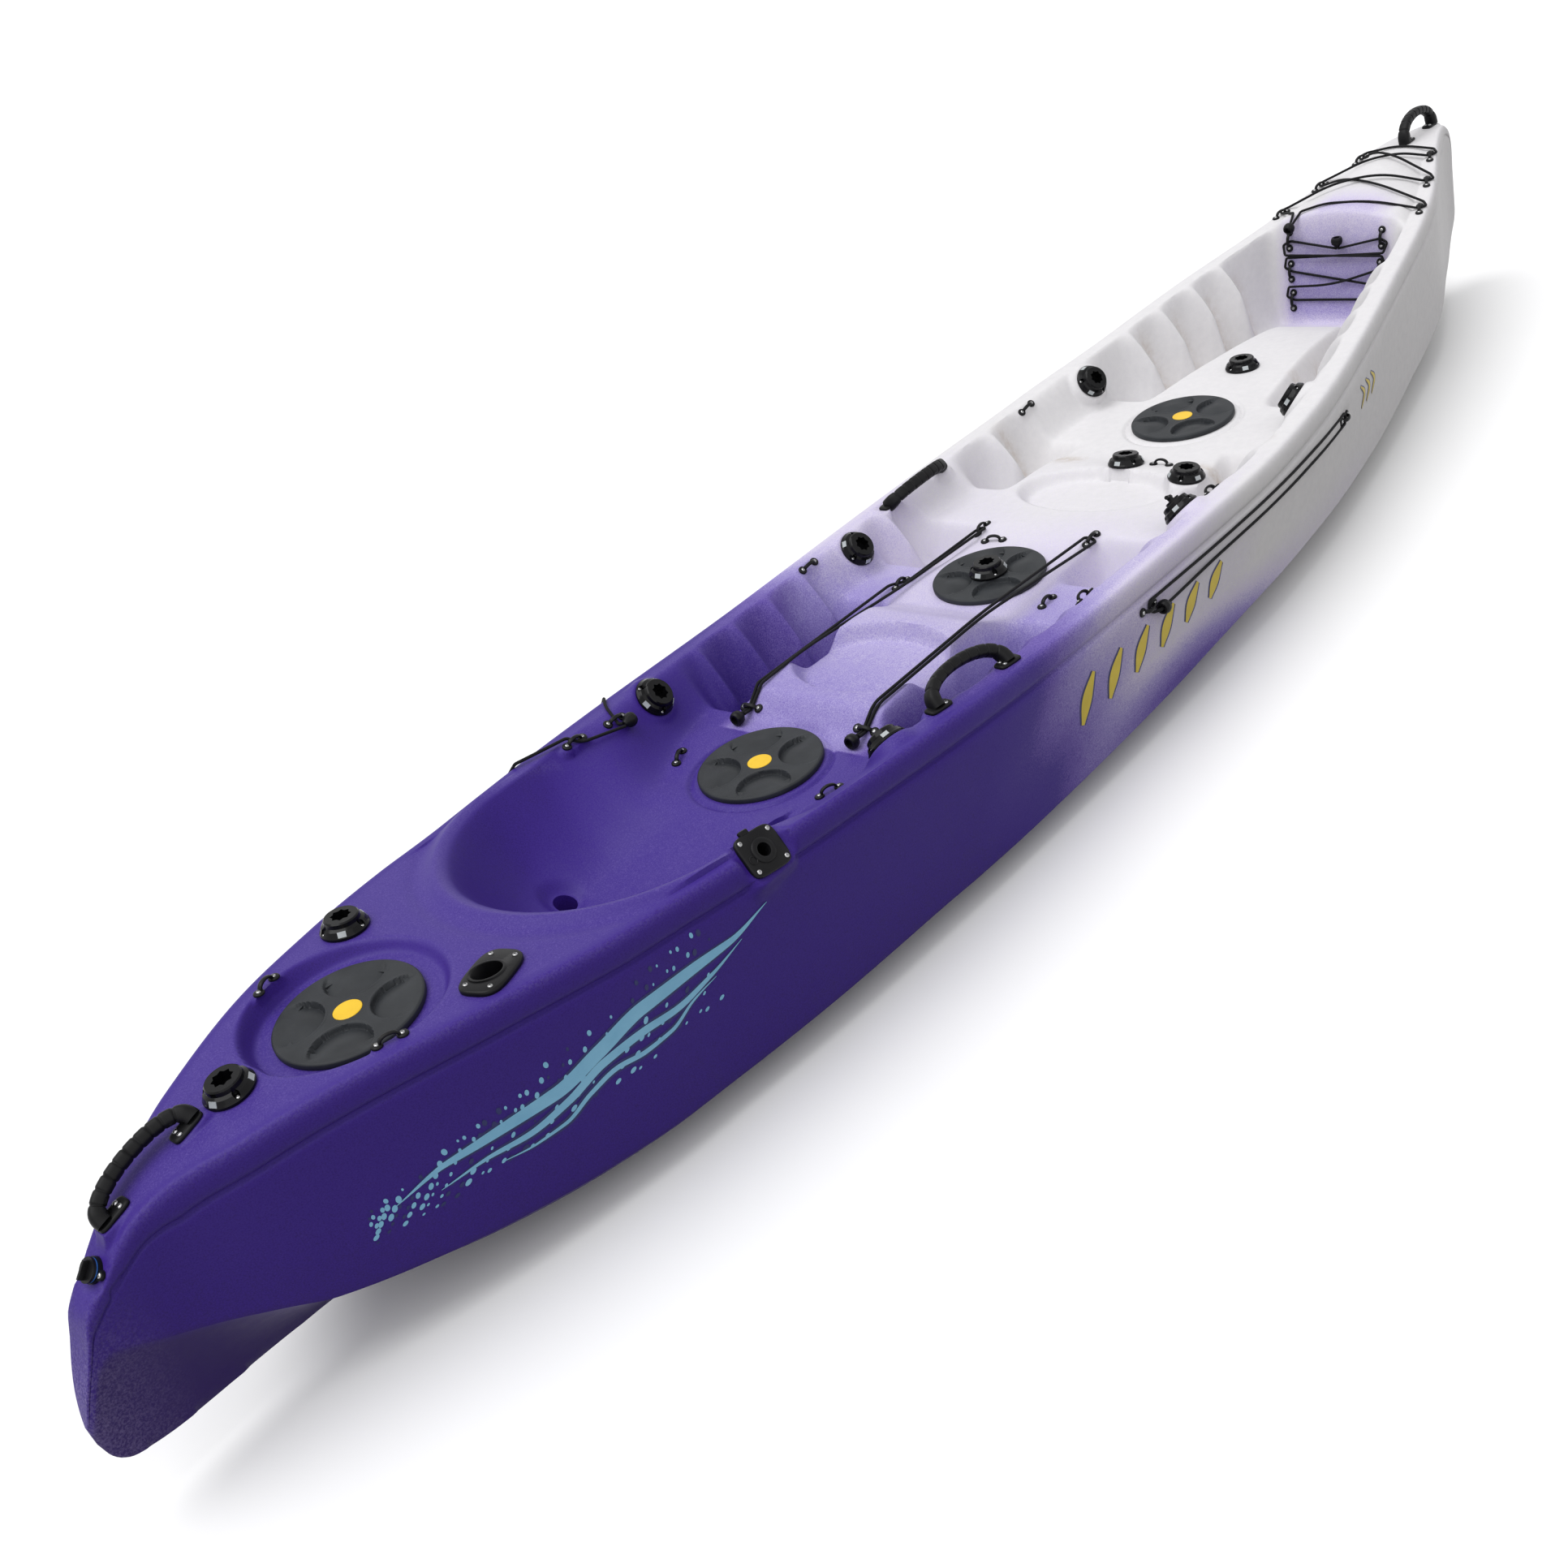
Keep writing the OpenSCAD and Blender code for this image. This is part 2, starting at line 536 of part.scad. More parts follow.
// The hollow hull in one moulding
module moulded_hull() {
  color("mediumpurple")
    difference() {
      union() {
        outer_form();
        foot_ribs();
        seats(boss_margin, -boss_depth, 0);
      }
      difference() {
        inner_form();
        scuppers(scupper_radius + wall);
        for (h = HATCHES)
          translate([kx * h[0], 0, kz * h[1] - wall - cup_drop])
            cylinder(r = h[2] + wall, h = 100, $fn = 24);
        on_plate() block(plate_side + 10, plate_side + 10, -wall - 2, clear_height);
      }
      seats(clear_margin, 0, clear_height);
      padeye_space();
      scuppers(scupper_radius);
      for (i = [0:len(HATCHES) - 1])
        hatch_place(i) {
          cylinder(r = HATCHES[i][2], h = 60, $fn = 24);
          translate([0, 0, -60]) cylinder(r = opening_radius / cos(180 / 24), h = 80, $fn = 24);
        }
      on_rod_holder()
        rotate([0, -rod_rake, 0])
          translate([0, 0, -60]) cylinder(r = rod_radius + rod_wall + 2, h = 90, $fn = 16);
      on_plate()
        translate([0, 0, -60]) cylinder(r = plate_bore + rod_wall + 2, h = 90, $fn = 16);
      on_drain()
        translate([0, 0, -40]) cylinder(r = drain_radius + 4, h = 60, $fn = 16);
    }
}

// Screw hatches
module hatch_place(i) {
  translate([kx * HATCHES[i][0], 0, kz * HATCHES[i][1]]) children();
}
lid_radius = lid_diameter / 2;
flange_radius = lid_radius - 6;
seal_wire = 2;
seal_radius = collar_radius + 6;
seal_top = ring_flange + seat_gap + 2 * seal_wire;
spigot_radius = collar_radius - collar_wall - spigot_gap;
lid_plate = lid_height - seal_top - move_gap;
module hatch_ring(i) {
  color([0.13, 0.14, 0.15])
    hatch_place(i)
      rotate_extrude($fn = 96)
        polygon([[collar_radius - collar_wall, -collar_depth], [collar_radius, -collar_depth],
          [collar_radius, seat_gap], [flange_radius, seat_gap], [flange_radius, ring_flange],
          [flange_radius - 1, ring_flange + seat_gap],
          [collar_radius - collar_wall, ring_flange + seat_gap]]);
}
module lid_seal(i) {
  color("black")
    hatch_place(i)
      translate([0, 0, ring_flange + seat_gap + seal_wire + move_gap / 2])
        rotate_extrude($fn = 96)
          translate([seal_radius, 0]) circle(seal_wire, $fn = 16);
}
// Crescent finger recess towards +X
crescent_radius = 34;
crescent_depth = 4;
module crescent() {
  translate([lid_radius * 0.58, 0, lid_height - crescent_depth])
    difference() {
      cylinder(r = crescent_radius, h = lid_height);
      translate([crescent_radius * 0.55, 0, -1]) cylinder(r = crescent_radius * 1.05, h = lid_height + 2);
    }
}
module lid_body(i) {
  difference() {
    union() {
      rotate_extrude($fn = 96)
        polygon([[0, lid_height - lid_plate], [spigot_radius - spigot_wall, lid_height - lid_plate],
          [spigot_radius - spigot_wall, -spigot_depth], [spigot_radius, -spigot_depth],
          [spigot_radius, lid_height - lid_plate], [flange_radius + move_gap, lid_height - lid_plate],
          [flange_radius + move_gap, move_gap], [lid_radius - 1, move_gap], [lid_radius, 2],
          [lid_radius, lid_height - 3], [lid_radius - 3, lid_height], [0, lid_height]]);
      translate([0, 0, lid_height - lid_plate - 4]) cylinder(r = spigot_radius - spigot_wall + 1, h = 5);
    }
    for (a = [45:90:315]) rotate([0, 0, a]) crescent();
    if (i != 2)
      translate([0, 0, lid_height - 2]) cylinder(r = disc_radius + inlay_gap, h = 5);
  }
}
module hatch_lid(i) {
  color([0.2, 0.22, 0.24]) hatch_place(i) lid_body(i);
}
module lid_disc(i) {
  color("gold")
    hatch_place(i)
      translate([0, 0, lid_height - 2 + seat_gap])
        rotate_extrude($fn = 64)
          polygon([[0, 0], [disc_radius, 0], [disc_radius, 2], [disc_radius - 1, 2.6], [0, 2.6]]);
}

// Screw with a domed head, its shank ending on the seat
module screw(grip) {
  difference() {
    rotate_extrude($fn = 24)
      polygon([[0, seat_gap], [screw_shank, seat_gap], [screw_shank, grip + seat_gap],
        [screw_head, grip + seat_gap], [screw_head - 0.4, grip + 1.2], [screw_head - 1.6, grip + 2],
        [0, grip + 2.2]]);
    translate([0, 0, grip + 1]) cylinder(r = 1.6, h = 3, $fn = 6);
  }
}
module screw_hole(height) {
  translate([0, 0, -1]) cylinder(r = screw_shank + inlay_gap, h = height + 2, $fn = 24);
}

// Accessory socket: stepped collar with a star opening, three screws and three reflectors
star_points = 8;
puck_step = 0.55 * puck_height;
puck_screw_r = puck_radius - 6;
puck_screw_z = 7;
reflector = [4, 13, 9];
star = [for (k = [0:2 * star_points - 1])
  (k % 2 == 0 ? star_radius : 0.78 * star_radius)
  * [cos(180 * k / star_points), sin(180 * k / star_points)]];
module at_reflectors(gap) {
  for (a = [60:120:300])
    rotate([0, 0, a])
      translate([puck_radius - 5, 0, puck_step - 4])
        rotate([0, -28, 0])
          cube(reflector + 2 * [gap, gap, gap], center = true);
}
module puck() {
  difference() {
    rotate_extrude($fn = 72)
      polygon([[0, seat_gap], [puck_radius - 1, seat_gap], [puck_radius, 2], [puck_radius, 5],
        [puck_radius - 2, 8], [puck_radius - 5, puck_step], [puck_radius - 10, puck_step + 3],
        [puck_radius - 11, puck_height - 2],
        [puck_radius - 13, puck_height], [0, puck_height]]);
    translate([0, 0, puck_height - star_depth]) linear_extrude(star_depth + 1) polygon(star);
    for (a = [0:120:240])
      rotate([0, 0, a])
        translate([puck_screw_r, 0, 0]) {
          screw_hole(puck_height);
          translate([0, 0, puck_screw_z]) cylinder(r = screw_head + inlay_gap + 0.7, h = puck_height);
        }
    at_reflectors(inlay_gap);
  }
}
module puck_screws() {
  for (a = [0:120:240])
    rotate([0, 0, a])
      translate([puck_screw_r, 0, 0]) screw(puck_screw_z);
}
module socket(i) {
  color([0.07, 0.07, 0.08]) on_puck(PUCKS[i]) puck();
}
module on_lid_socket() {
  hatch_place(2) translate([0, 0, lid_height]) children();
}
module socket_reflectors() {
  color("lightgrey") for (p = PUCKS) on_puck(p) at_reflectors(0);
}
module socket_screws() {
  color("silver") for (p = PUCKS) on_puck(p) puck_screws();
}
module lid_socket() {
  color([0.07, 0.07, 0.08]) on_lid_socket() puck();
}
module lid_socket_reflectors() {
  color("lightgrey") on_lid_socket() at_reflectors(0);
}
module lid_socket_screws() {
  color("silver") on_lid_socket() puck_screws();
}
// Bar of the accessory that is locked into one socket
bar_length = 46;
bar_radius = 4;
module locking_bar() {
  color([0.1, 0.1, 0.11])
    on_puck(PUCKS[locked_puck])
      union() {
        translate([0, 0, puck_height + seat_gap]) cylinder(r = 0.9 * star_radius, h = 5);
        translate([0, 0, puck_height + 4]) cylinder(r = 6, h = 12);
        translate([-bar_length / 2, 0, puck_height + 14])
          rotate([0, 90, 0]) cylinder(r = bar_radius, h = bar_length);
      }
}

// Padeyes: two round feet with a raised bow between them
padeye_bow = padeye_span / 2 - padeye_foot;
module padeye() {
  difference() {
    union() {
      for (end = [-1, 1])
        translate([end * padeye_span / 2, 0, seat_gap]) cylinder(r = padeye_foot, h = foot_height);
      intersection() {
        rotate([90, 0, 0])
          rotate_extrude($fn = 48) translate([padeye_bow, 0]) circle(padeye_wire, $fn = 24);
        translate([-padeye_span, -padeye_span, seat_gap]) cube(2 * padeye_span);
      }
    }
    for (end = [-1, 1])
      translate([end * padeye_span / 2, 0, 0]) screw_hole(foot_height);
  }
}
module padeye_screw_pair() {
  for (end = [-1, 1])
    translate([end * padeye_span / 2, 0, 0]) screw(foot_height);
}
module deck_padeyes() {
  color([0.06, 0.06, 0.07]) for (p = DECK_PADEYES) on_padeye(p) padeye();
}
module bow_padeyes() {
  color([0.06, 0.06, 0.07]) for (p = BOW_PADEYES) on_padeye(p) padeye();
}
module bulkhead_padeyes() {
  color([0.06, 0.06, 0.07]) for (p = BULKHEAD_PADEYES) on_bulkhead(p) padeye();
}
module side_padeyes() {
  color([0.06, 0.06, 0.07]) for (p = SIDE_PADEYES) on_side(p) padeye();
}
module padeye_screws() {
  color("silver") {
    for (p = concat(DECK_PADEYES, BOW_PADEYES)) on_padeye(p) padeye_screw_pair();
    for (p = BULKHEAD_PADEYES) on_bulkhead(p) padeye_screw_pair();
    for (p = SIDE_PADEYES) on_side(p) padeye_screw_pair();
  }
}

// Carry handle: a ribbed grip bent to an arc between two screwed tabs
tab_height = 6;
arc_overrun = 14;
HANDLES = [[STERN_HANDLE, end_span, end_rise], [BOW_HANDLE, end_span, end_rise],
  [PORT_HANDLE, handle_span, handle_rise], [STARBOARD_HANDLE, handle_span, handle_rise]];
module on_handle(h) {
  on_rim(h[0], h[1] / 2) children();
}
module at_tab_screws(span) {
  for (end = [-1, 1], side = [-1, 1])
    translate([end * (tab_middle(span) + handle_tab / 2 - 8), side * (grip_diameter / 2 - 6), 0])
      children();
}
module grip_arc(radius, start, angle, thick) {
  rotate([0, 0, start])
    rotate_extrude(angle = angle, $fn = 96)
      translate([radius, 0]) circle(thick, $fn = 32);
}
module handle(span, rise) {
  radius = (span * span / 4 + rise * rise) / (2 * rise);
  half = rise > span / 2 ? 180 - asin(span / (2 * radius)) : asin(span / (2 * radius));
  pitch = 2 * 0.82 * half / grip_segments;
  difference() {
    union() {
      intersection() {
        translate([0, 0, rise - radius + grip_core])
          rotate([90, 0, 0]) {
            grip_arc(radius, 90 - half - arc_overrun, 2 * (half + arc_overrun), grip_core);
            for (k = [0:grip_segments - 1])
              grip_arc(radius, 90 + (k - (grip_segments - 1) / 2 - 0.4) * pitch, 0.8 * pitch,
                grip_diameter / 2);
          }
        translate([-span, -span, seat_gap]) cube(2 * span);
      }
      for (end = [-1, 1])
        translate([end * tab_middle(span) - handle_tab / 2, -grip_diameter / 2, seat_gap])
          cube([handle_tab, grip_diameter, tab_height]);
    }
    at_tab_screws(span) {
      screw_hole(rise);
      translate([0, 0, tab_height + seat_gap]) cylinder(r = screw_head + inlay_gap, h = rise);
    }
  }
}
module grip(i) {
  color([0.08, 0.08, 0.09]) on_handle(HANDLES[i]) handle(HANDLES[i][1], HANDLES[i][2]);
}
module stern_handle() {
  grip(0);
}
module bow_handle() {
  grip(1);
}
module port_handle() {
  grip(2);
}
module starboard_handle() {
  grip(3);
}
module handle_screws() {
  color("silver")
    for (h = HANDLES)
      on_handle(h) at_tab_screws(h[1]) screw(tab_height);
}

// Plate with round corners
module round_plate(length, width, height, corner) {
  linear_extrude(height)
    union() {
      square([length - 2 * corner, width], center = true);
      square([length, width - 2 * corner], center = true);
      for (u = [-1, 1], v = [-1, 1])
        translate([u * (length / 2 - corner), v * (width / 2 - corner)]) circle(corner);
    }
}
module at_corners(length, width, inset) {
  for (u = [-1, 1], v = [-1, 1])
    translate([u * (length / 2 - inset), v * (width / 2 - inset), 0]) children();
}

// Flush rod holder: a raked tube under a screwed flange
rod_flange_h = 6;
rod_screw_inset = 13;
module rod_holder() {
  color([0.16, 0.17, 0.17])
    on_rod_holder()
      difference() {
        union() {
          translate([0, 0, seat_gap]) round_plate(rod_flange_l, rod_flange_w, rod_flange_h, 16);
          rotate([0, -rod_rake, 0])
            translate([0, 0, -rod_depth]) cylinder(r = rod_radius + rod_wall, h = rod_depth + 14);
        }
        rotate([0, -rod_rake, 0])
          translate([0, 0, rod_wall - rod_depth]) cylinder(r = rod_radius, h = rod_depth + 60);
        translate([-100, -100, rod_flange_h + seat_gap + 3]) cube([200, 200, 60]);
        at_corners(rod_flange_l, rod_flange_w, rod_screw_inset) screw_hole(rod_flange_h);
      }
}
module rod_holder_screws() {
  color("silver")
    on_rod_holder()
      at_corners(rod_flange_l, rod_flange_w, rod_screw_inset) screw(rod_flange_h);
}

// Gunwale plate with a round socket, a small hole and a notch
plate_height = 8;
plate_inset = 10;
small_hole = 5;
module gunwale_plate() {
  color([0.06, 0.06, 0.07])
    on_plate()
      difference() {
        union() {
          translate([0, 0, seat_gap]) round_plate(plate_side, plate_side, plate_height, 9);
          translate([0, 0, -plate_depth])
            cylinder(r = plate_bore + rod_wall, h = plate_depth + plate_height + 4);
        }
        translate([0, 0, rod_wall - plate_depth]) cylinder(r = plate_bore, h = plate_depth + 60);
        at_corners(plate_side, plate_side, plate_inset) screw_hole(plate_height);
        translate([-0.32 * plate_side, 0, -1]) cylinder(r = small_hole, h = plate_height + 4);
        translate([-plate_side / 2 - 2, -4, -1]) cube([10, 8, plate_height + 4]);
      }
}
module gunwale_plate_screws() {
  color("silver")
    on_plate()
      at_corners(plate_side, plate_side, plate_inset) screw(plate_height);
}

// Drain: screwed flange, seal ring and screw plug with a grip bar
drain_flange_h = 5;
drain_neck = 16;
drain_wire = 1.5;
module drain_flange() {
  color([0.06, 0.06, 0.07])
    on_drain()
      difference() {
        union() {
          translate([0, 0, seat_gap])
            linear_extrude(drain_flange_h)
              union() {
                circle(drain_radius + 5);
                for (end = [-1, 1])
                  translate([0, end * drain_span / 2]) circle(7);
                square([14, drain_span], center = true);
              }
          translate([0, 0, -drain_neck]) cylinder(r = drain_radius + 2.5, h = drain_neck + 1);
        }
        translate([0, 0, -drain_neck - 1]) cylinder(r = drain_radius, h = 60);
        at_drain_screws() screw_hole(drain_flange_h);
      }
}
module at_drain_screws() {
  for (end = [-1, 1])
    translate([0, end * drain_span / 2, 0]) children();
}
module drain_screws() {
  color("silver") on_drain() at_drain_screws() screw(drain_flange_h);
}
drain_top = drain_flange_h + seat_gap;
module drain_seal() {
  color("royalblue")
    on_drain()
      translate([0, 0, drain_top + drain_wire + move_gap / 2])
        rotate_extrude($fn = 64) translate([drain_radius + 2, 0]) circle(drain_wire, $fn = 16);
}
drain_head = drain_top + 2 * drain_wire + move_gap;
module drain_plug() {
  color([0.1, 0.1, 0.11])
    on_drain()
      union() {
        translate([0, 0, -drain_neck + 3]) cylinder(r = drain_radius - 0.5, h = drain_head + drain_neck);
        translate([0, 0, drain_head]) cylinder(r = drain_radius + 4, h = 4);
        translate([-drain_radius, -2, drain_head + 3]) cube([2 * drain_radius, 4, 10]);
      }
}

// Ball knob of a cord, the cord leaving along +X
module knob() {
  rotate([0, -90, 0])
    rotate_extrude($fn = 48)
      polygon([[0, 0], [5, 0], [7, 3], [0.9 * knob_radius, 9], [knob_radius, 15], [0.95 * knob_radius, 20],
        [0.8 * knob_radius, 24], [0.55 * knob_radius, 24], [0.5 * knob_radius, 18], [0, 18]]);
}
module cord_knobs() {
  color([0.09, 0.09, 0.1])
    for (k = KNOBS)
      translate(k[0]) rotate([0, 0, k[1]]) rotate([0, k[2], 0]) knob();
}

// Cord: one tube swept along its route with mitred turns
cord_sides = 8;
function unit(v) = v / norm(v);
function carry(s, a, b) = s - (s * b) / (1 + a * b) * (a + b);
function runs(r) = [for (i = [0:len(r) - 2]) unit(r[i + 1] - r[i])];
function side_vectors(d, s, i = 0) =
  i == len(d) ? [] : concat([s], i == len(d) - 1 ? [] : side_vectors(d, carry(s, d[i], d[i + 1]), i + 1));
function first_side(d) = unit(cross(d, abs(d[2]) > 0.9 ? [1, 0, 0] : [0, 0, 1]));
function ring(p, d, s, cut, radius) =
  [for (k = [0:cord_sides - 1])
    let (a = 360 * (k + 0.5) / cord_sides, o = radius * (cos(a) * s + sin(a) * cross(d, s)))
    p + o - (o * cut) / (d * cut) * d];
module cord(route) {
  d = runs(route);
  s = side_vectors(d, first_side(d[0]));
  n = len(route);
  radius = cord_diameter / 2;
  rings = [for (i = [0:n - 1])
    let (k = max(0, i - 1), cut = i == 0 || i == n - 1 ? d[k] : unit(d[i - 1] + d[i]))
    ring(route[i], d[k], s[k], cut, radius)];
  m = cord_sides;
  skin = [for (i = [0:n - 2]) for (j = [0:m - 1])
    let (a = i * m + j, b = i * m + (j + 1) % m)
    each [[a, b, b + m], [a, b + m, a + m]]];
  ends = concat([for (j = [1:m - 2]) [0, j + 1, j]],
    [for (j = [1:m - 2]) [(n - 1) * m, (n - 1) * m + j, (n - 1) * m + j + 1]]);
  color([0.05, 0.05, 0.06])
    polyhedron([for (r = rings) each r], concat(skin, ends), convexity = 8);
}
module port_deck_cord() {
  cord(PORT_DECK_ROUTE);
}
module starboard_deck_cord() {
  cord(STARBOARD_DECK_ROUTE);
}
module port_keeper_cord() {
  cord(PORT_KEEPER_ROUTE);
}
module starboard_keeper_cord() {
  cord(STARBOARD_KEEPER_ROUTE);
}
module bow_cord() {
  cord(BOW_ROUTE);
}
module bulkhead_cord() {
  cord(BULKHEAD_ROUTE);
}

moulded_hull();  // hull
hatch_ring(0);  // hatch_ring_1
hatch_ring(1);  // hatch_ring_2
hatch_ring(2);  // hatch_ring_3
hatch_ring(3);  // hatch_ring_4
lid_seal(0);  // lid_seal_1
lid_seal(1);  // lid_seal_2
lid_seal(2);  // lid_seal_3
lid_seal(3);  // lid_seal_4
hatch_lid(0);  // hatch_lid_1
hatch_lid(1);  // hatch_lid_2
hatch_lid(2);  // hatch_lid_3
hatch_lid(3);  // hatch_lid_4
lid_disc(0);  // lid_disc_1
lid_disc(1);  // lid_disc_2
lid_disc(3);  // lid_disc_4
socket(0);  // socket_1
socket(1);  // socket_2
socket(2);  // socket_3
socket(3);  // socket_4
socket(4);  // socket_5
socket(5);  // socket_6
socket(6);  // socket_7
socket(7);  // socket_8
socket(8);  // socket_9
socket(9);  // socket_10
socket(10);  // socket_11
socket_reflectors();
socket_screws();
lid_socket();
lid_socket_reflectors();
lid_socket_screws();
locking_bar();
deck_padeyes();
bow_padeyes();
bulkhead_padeyes();
side_padeyes();
padeye_screws();
stern_handle();
bow_handle();
port_handle();
starboard_handle();
handle_screws();
rod_holder();
rod_holder_screws();
gunwale_plate();
gunwale_plate_screws();
drain_flange();
drain_seal();
drain_plug();
drain_screws();
cord_knobs();
port_deck_cord();
starboard_deck_cord();
port_keeper_cord();
starboard_keeper_cord();
bow_cord();
bulkhead_cord();
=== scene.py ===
"""Looks of the tandem kayak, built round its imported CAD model."""
import json
from math import atan, atan2, cos, hypot, pi, radians, sin, tan

import bpy
import numpy as np
from mathutils import Matrix, Vector


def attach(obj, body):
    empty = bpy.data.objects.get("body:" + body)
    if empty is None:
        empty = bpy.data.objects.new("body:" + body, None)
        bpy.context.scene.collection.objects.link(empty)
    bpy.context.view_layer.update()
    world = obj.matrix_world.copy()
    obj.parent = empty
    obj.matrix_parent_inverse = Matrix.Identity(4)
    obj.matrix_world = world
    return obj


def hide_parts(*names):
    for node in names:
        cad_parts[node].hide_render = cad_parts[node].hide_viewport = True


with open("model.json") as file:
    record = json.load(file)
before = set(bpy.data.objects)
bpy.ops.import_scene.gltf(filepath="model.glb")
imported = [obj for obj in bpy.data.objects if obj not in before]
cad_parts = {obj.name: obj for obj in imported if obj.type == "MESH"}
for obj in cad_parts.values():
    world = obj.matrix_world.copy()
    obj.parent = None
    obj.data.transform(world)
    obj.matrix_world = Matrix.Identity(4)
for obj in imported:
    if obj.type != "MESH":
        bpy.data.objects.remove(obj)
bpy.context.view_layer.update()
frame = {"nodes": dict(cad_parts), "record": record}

MM, TO_MM = 0.001, 1000
X, Y, Z = 0, 1, 2


# Camera at the photograph's place
def add_camera():
    right = Vector((0.61847, -0.74454, -0.25132))
    down = Vector((-0.54108, -0.17156, -0.82328))
    ahead = Vector((0.56985, 0.64516, -0.50896))
    data = bpy.data.cameras.new("camera")
    data.lens = 40.27
    data.sensor_width = 36.0
    data.clip_end = 3000.0
    cam = bpy.data.objects.new("camera", data)
    bpy.context.scene.collection.objects.link(cam)
    turn = Matrix((right, -down, -ahead)).transposed().to_4x4()
    cam.matrix_world = Matrix.Translation((-2.5219, -2.0118, 1.8113)) @ turn
    bpy.context.scene.camera = cam


add_camera()

# Lines of the hull in millimetres, as in the part's source: [station, value]
LENGTH = 4430.0
BREADTH = [[-2215, 22], [-2060, 44], [-1910, 105], [-1660, 197], [-1360, 270], [-960, 330], [-460, 367],
    [0, 385], [320, 390], [620, 374], [960, 326], [1340, 258], [1680, 184], [1980, 78], [2130, 30], [2215, 14]]
SHEER = [[-2215, 140], [-2195, 262], [-2170, 312], [-2120, 370], [-2060, 415], [-1960, 444], [-1760, 458],
    [-1560, 446], [-1310, 421], [-860, 388], [-410, 359], [0, 347], [440, 338], [790, 348], [1240, 382],
    [1540, 402], [1840, 440], [2010, 462], [2100, 458], [2155, 436], [2190, 385], [2208, 310], [2215, 240]]
CHINE = [[-2215, 128], [-2190, 185], [-2100, 198], [-1910, 180], [-1660, 138], [-1410, 112], [-1000, 96],
    [900, 96], [1500, 106], [1900, 135], [2150, 190], [2215, 228]]
SPINE = [[-1410, 252], [-1215, 240], [-1110, 244], [-1000, 264], [-910, 286], [-665, 286], [-600, 322],
    [-520, 322], [-330, 316], [-290, 312], [-225, 284], [-190, 274], [60, 274], [150, 284], [220, 280],
    [450, 266], [520, 255], [950, 255], [1100, 250], [1240, 238], [1330, 222], [1390, 185], [1460, 175],
    [1600, 175]]
WELL = [[-700, 185], [-600, 170], [-150, 172], [0, 185], [300, 182], [800, 180], [1400, 172], [1600, 174]]
SPINE_WIDTH = [[-700, 175], [-500, 162], [-250, 152], [-160, 165], [100, 152], [300, 215], [450, 212],
    [600, 185], [900, 150], [1100, 122], [1300, 102], [1400, 92]]
WALL_RUN = [[-1100, 190], [-900, 150], [-700, 80], [-500, 75], [900, 75], [1200, 65], [1500, 60]]
WELLS = [[-660, -190], [-60, 130], [290, 590], [800, 1700]]
RIBS = [-590, -480, -370, -260, 30, 440, 960, 1080, 1200, 1310]
# Dishes: station, half length, half width, depth; hatches: station, seat, recess
DISHES = [[-448, 130, 170, 16], [335, 115, 185, 12]]
SCUPPERS = [[-1185, 118], [-420, 250], [1240, 165]]
HATCHES = [[-1660, 425, 148], [-784, 286, 122], [-64, 274, 118], [715, 255, 122]]
RIM, KEEL_FLAT, CHINE_SHARE = 44.0, 38.0, 0.95
BOWL_X, BOWL_LENGTH, BULKHEAD_X, BULKHEAD_RUN = -1095.0, 305.0, 1535.0, 70.0
RIDGE_EDGE, WELL_RUN, BOW_CROWN = 45.0, 70.0, 40.0
STEM_ROUND, STEM_BLUNT = 45.0, 0.15

# Lines of the drawn skin where the photograph is finer than the part's source
AFT_END = -2236.0
DRAWN_BREADTH = [[-2236, 20], [-2215, 23]] + BREADTH[1:]
DRAWN_SHEER = [[-2236, 182], [-2228, 206], [-2219, 229], [-2209, 250], [-2188, 291], [-2169, 331], [-2120, 374],
    [-2060, 416]] + SHEER[5:]
DRAWN_KEEL = [[-2236, 149], [-2230, 121], [-2219, 104], [-2204, 93], [-2128, 78], [-2047, 73], [-1963, 68],
    [-1876, 59], [-1660, 36], [-1160, 8], [-760, 0], [1150, 0], [1500, 8], [1840, 34], [2040, 74], [2140, 122],
    [2190, 170], [2215, 215]]
DRAWN_CHINE = [[-2236, 166], [-2219, 204], [-2204, 235], [-2188, 258], [-2168, 268], [-2145, 259], [-2102, 235],
    [-2054, 211], [-2002, 188], [-1955, 169], [-1907, 148], [-1824, 127], [-1756, 115], [-1686, 103],
    [-1611, 92], [-1531, 82], [-1445, 75], [-1355, 69], [-1259, 65], [-1046, 63], [-803, 62], [-671, 58],
    [-530, 56], [-377, 57], [-214, 60], [-38, 65], [154, 74], [363, 80], [618, 80], [965, 74], [1432, 94],
    [1800, 104], [2027, 116], [2150, 168], [2215, 228]]
DRAWN_CHINE_SHARE = 0.965
# Controls of the gunwale's moulding: inset from the side and drop from the sheer
GUNWALE = [(3, 80), (3.5, 65), (5, 58), (10.5, 54), (10, 49), (1.5, 45), (0.5, 24), (3, 9)]
BOTTOM_COLUMNS, DECK_COLUMNS, SIDE_COLUMNS = 34, 101, slice(33, 80)
RIB_REACH, SCOOP_DEPTH, RIB_SOFT, RIB_RUN = 36, 13, 8.0, 58.0
DISH_DEPTH, BOWL_SOFT = 2.2, 0.04

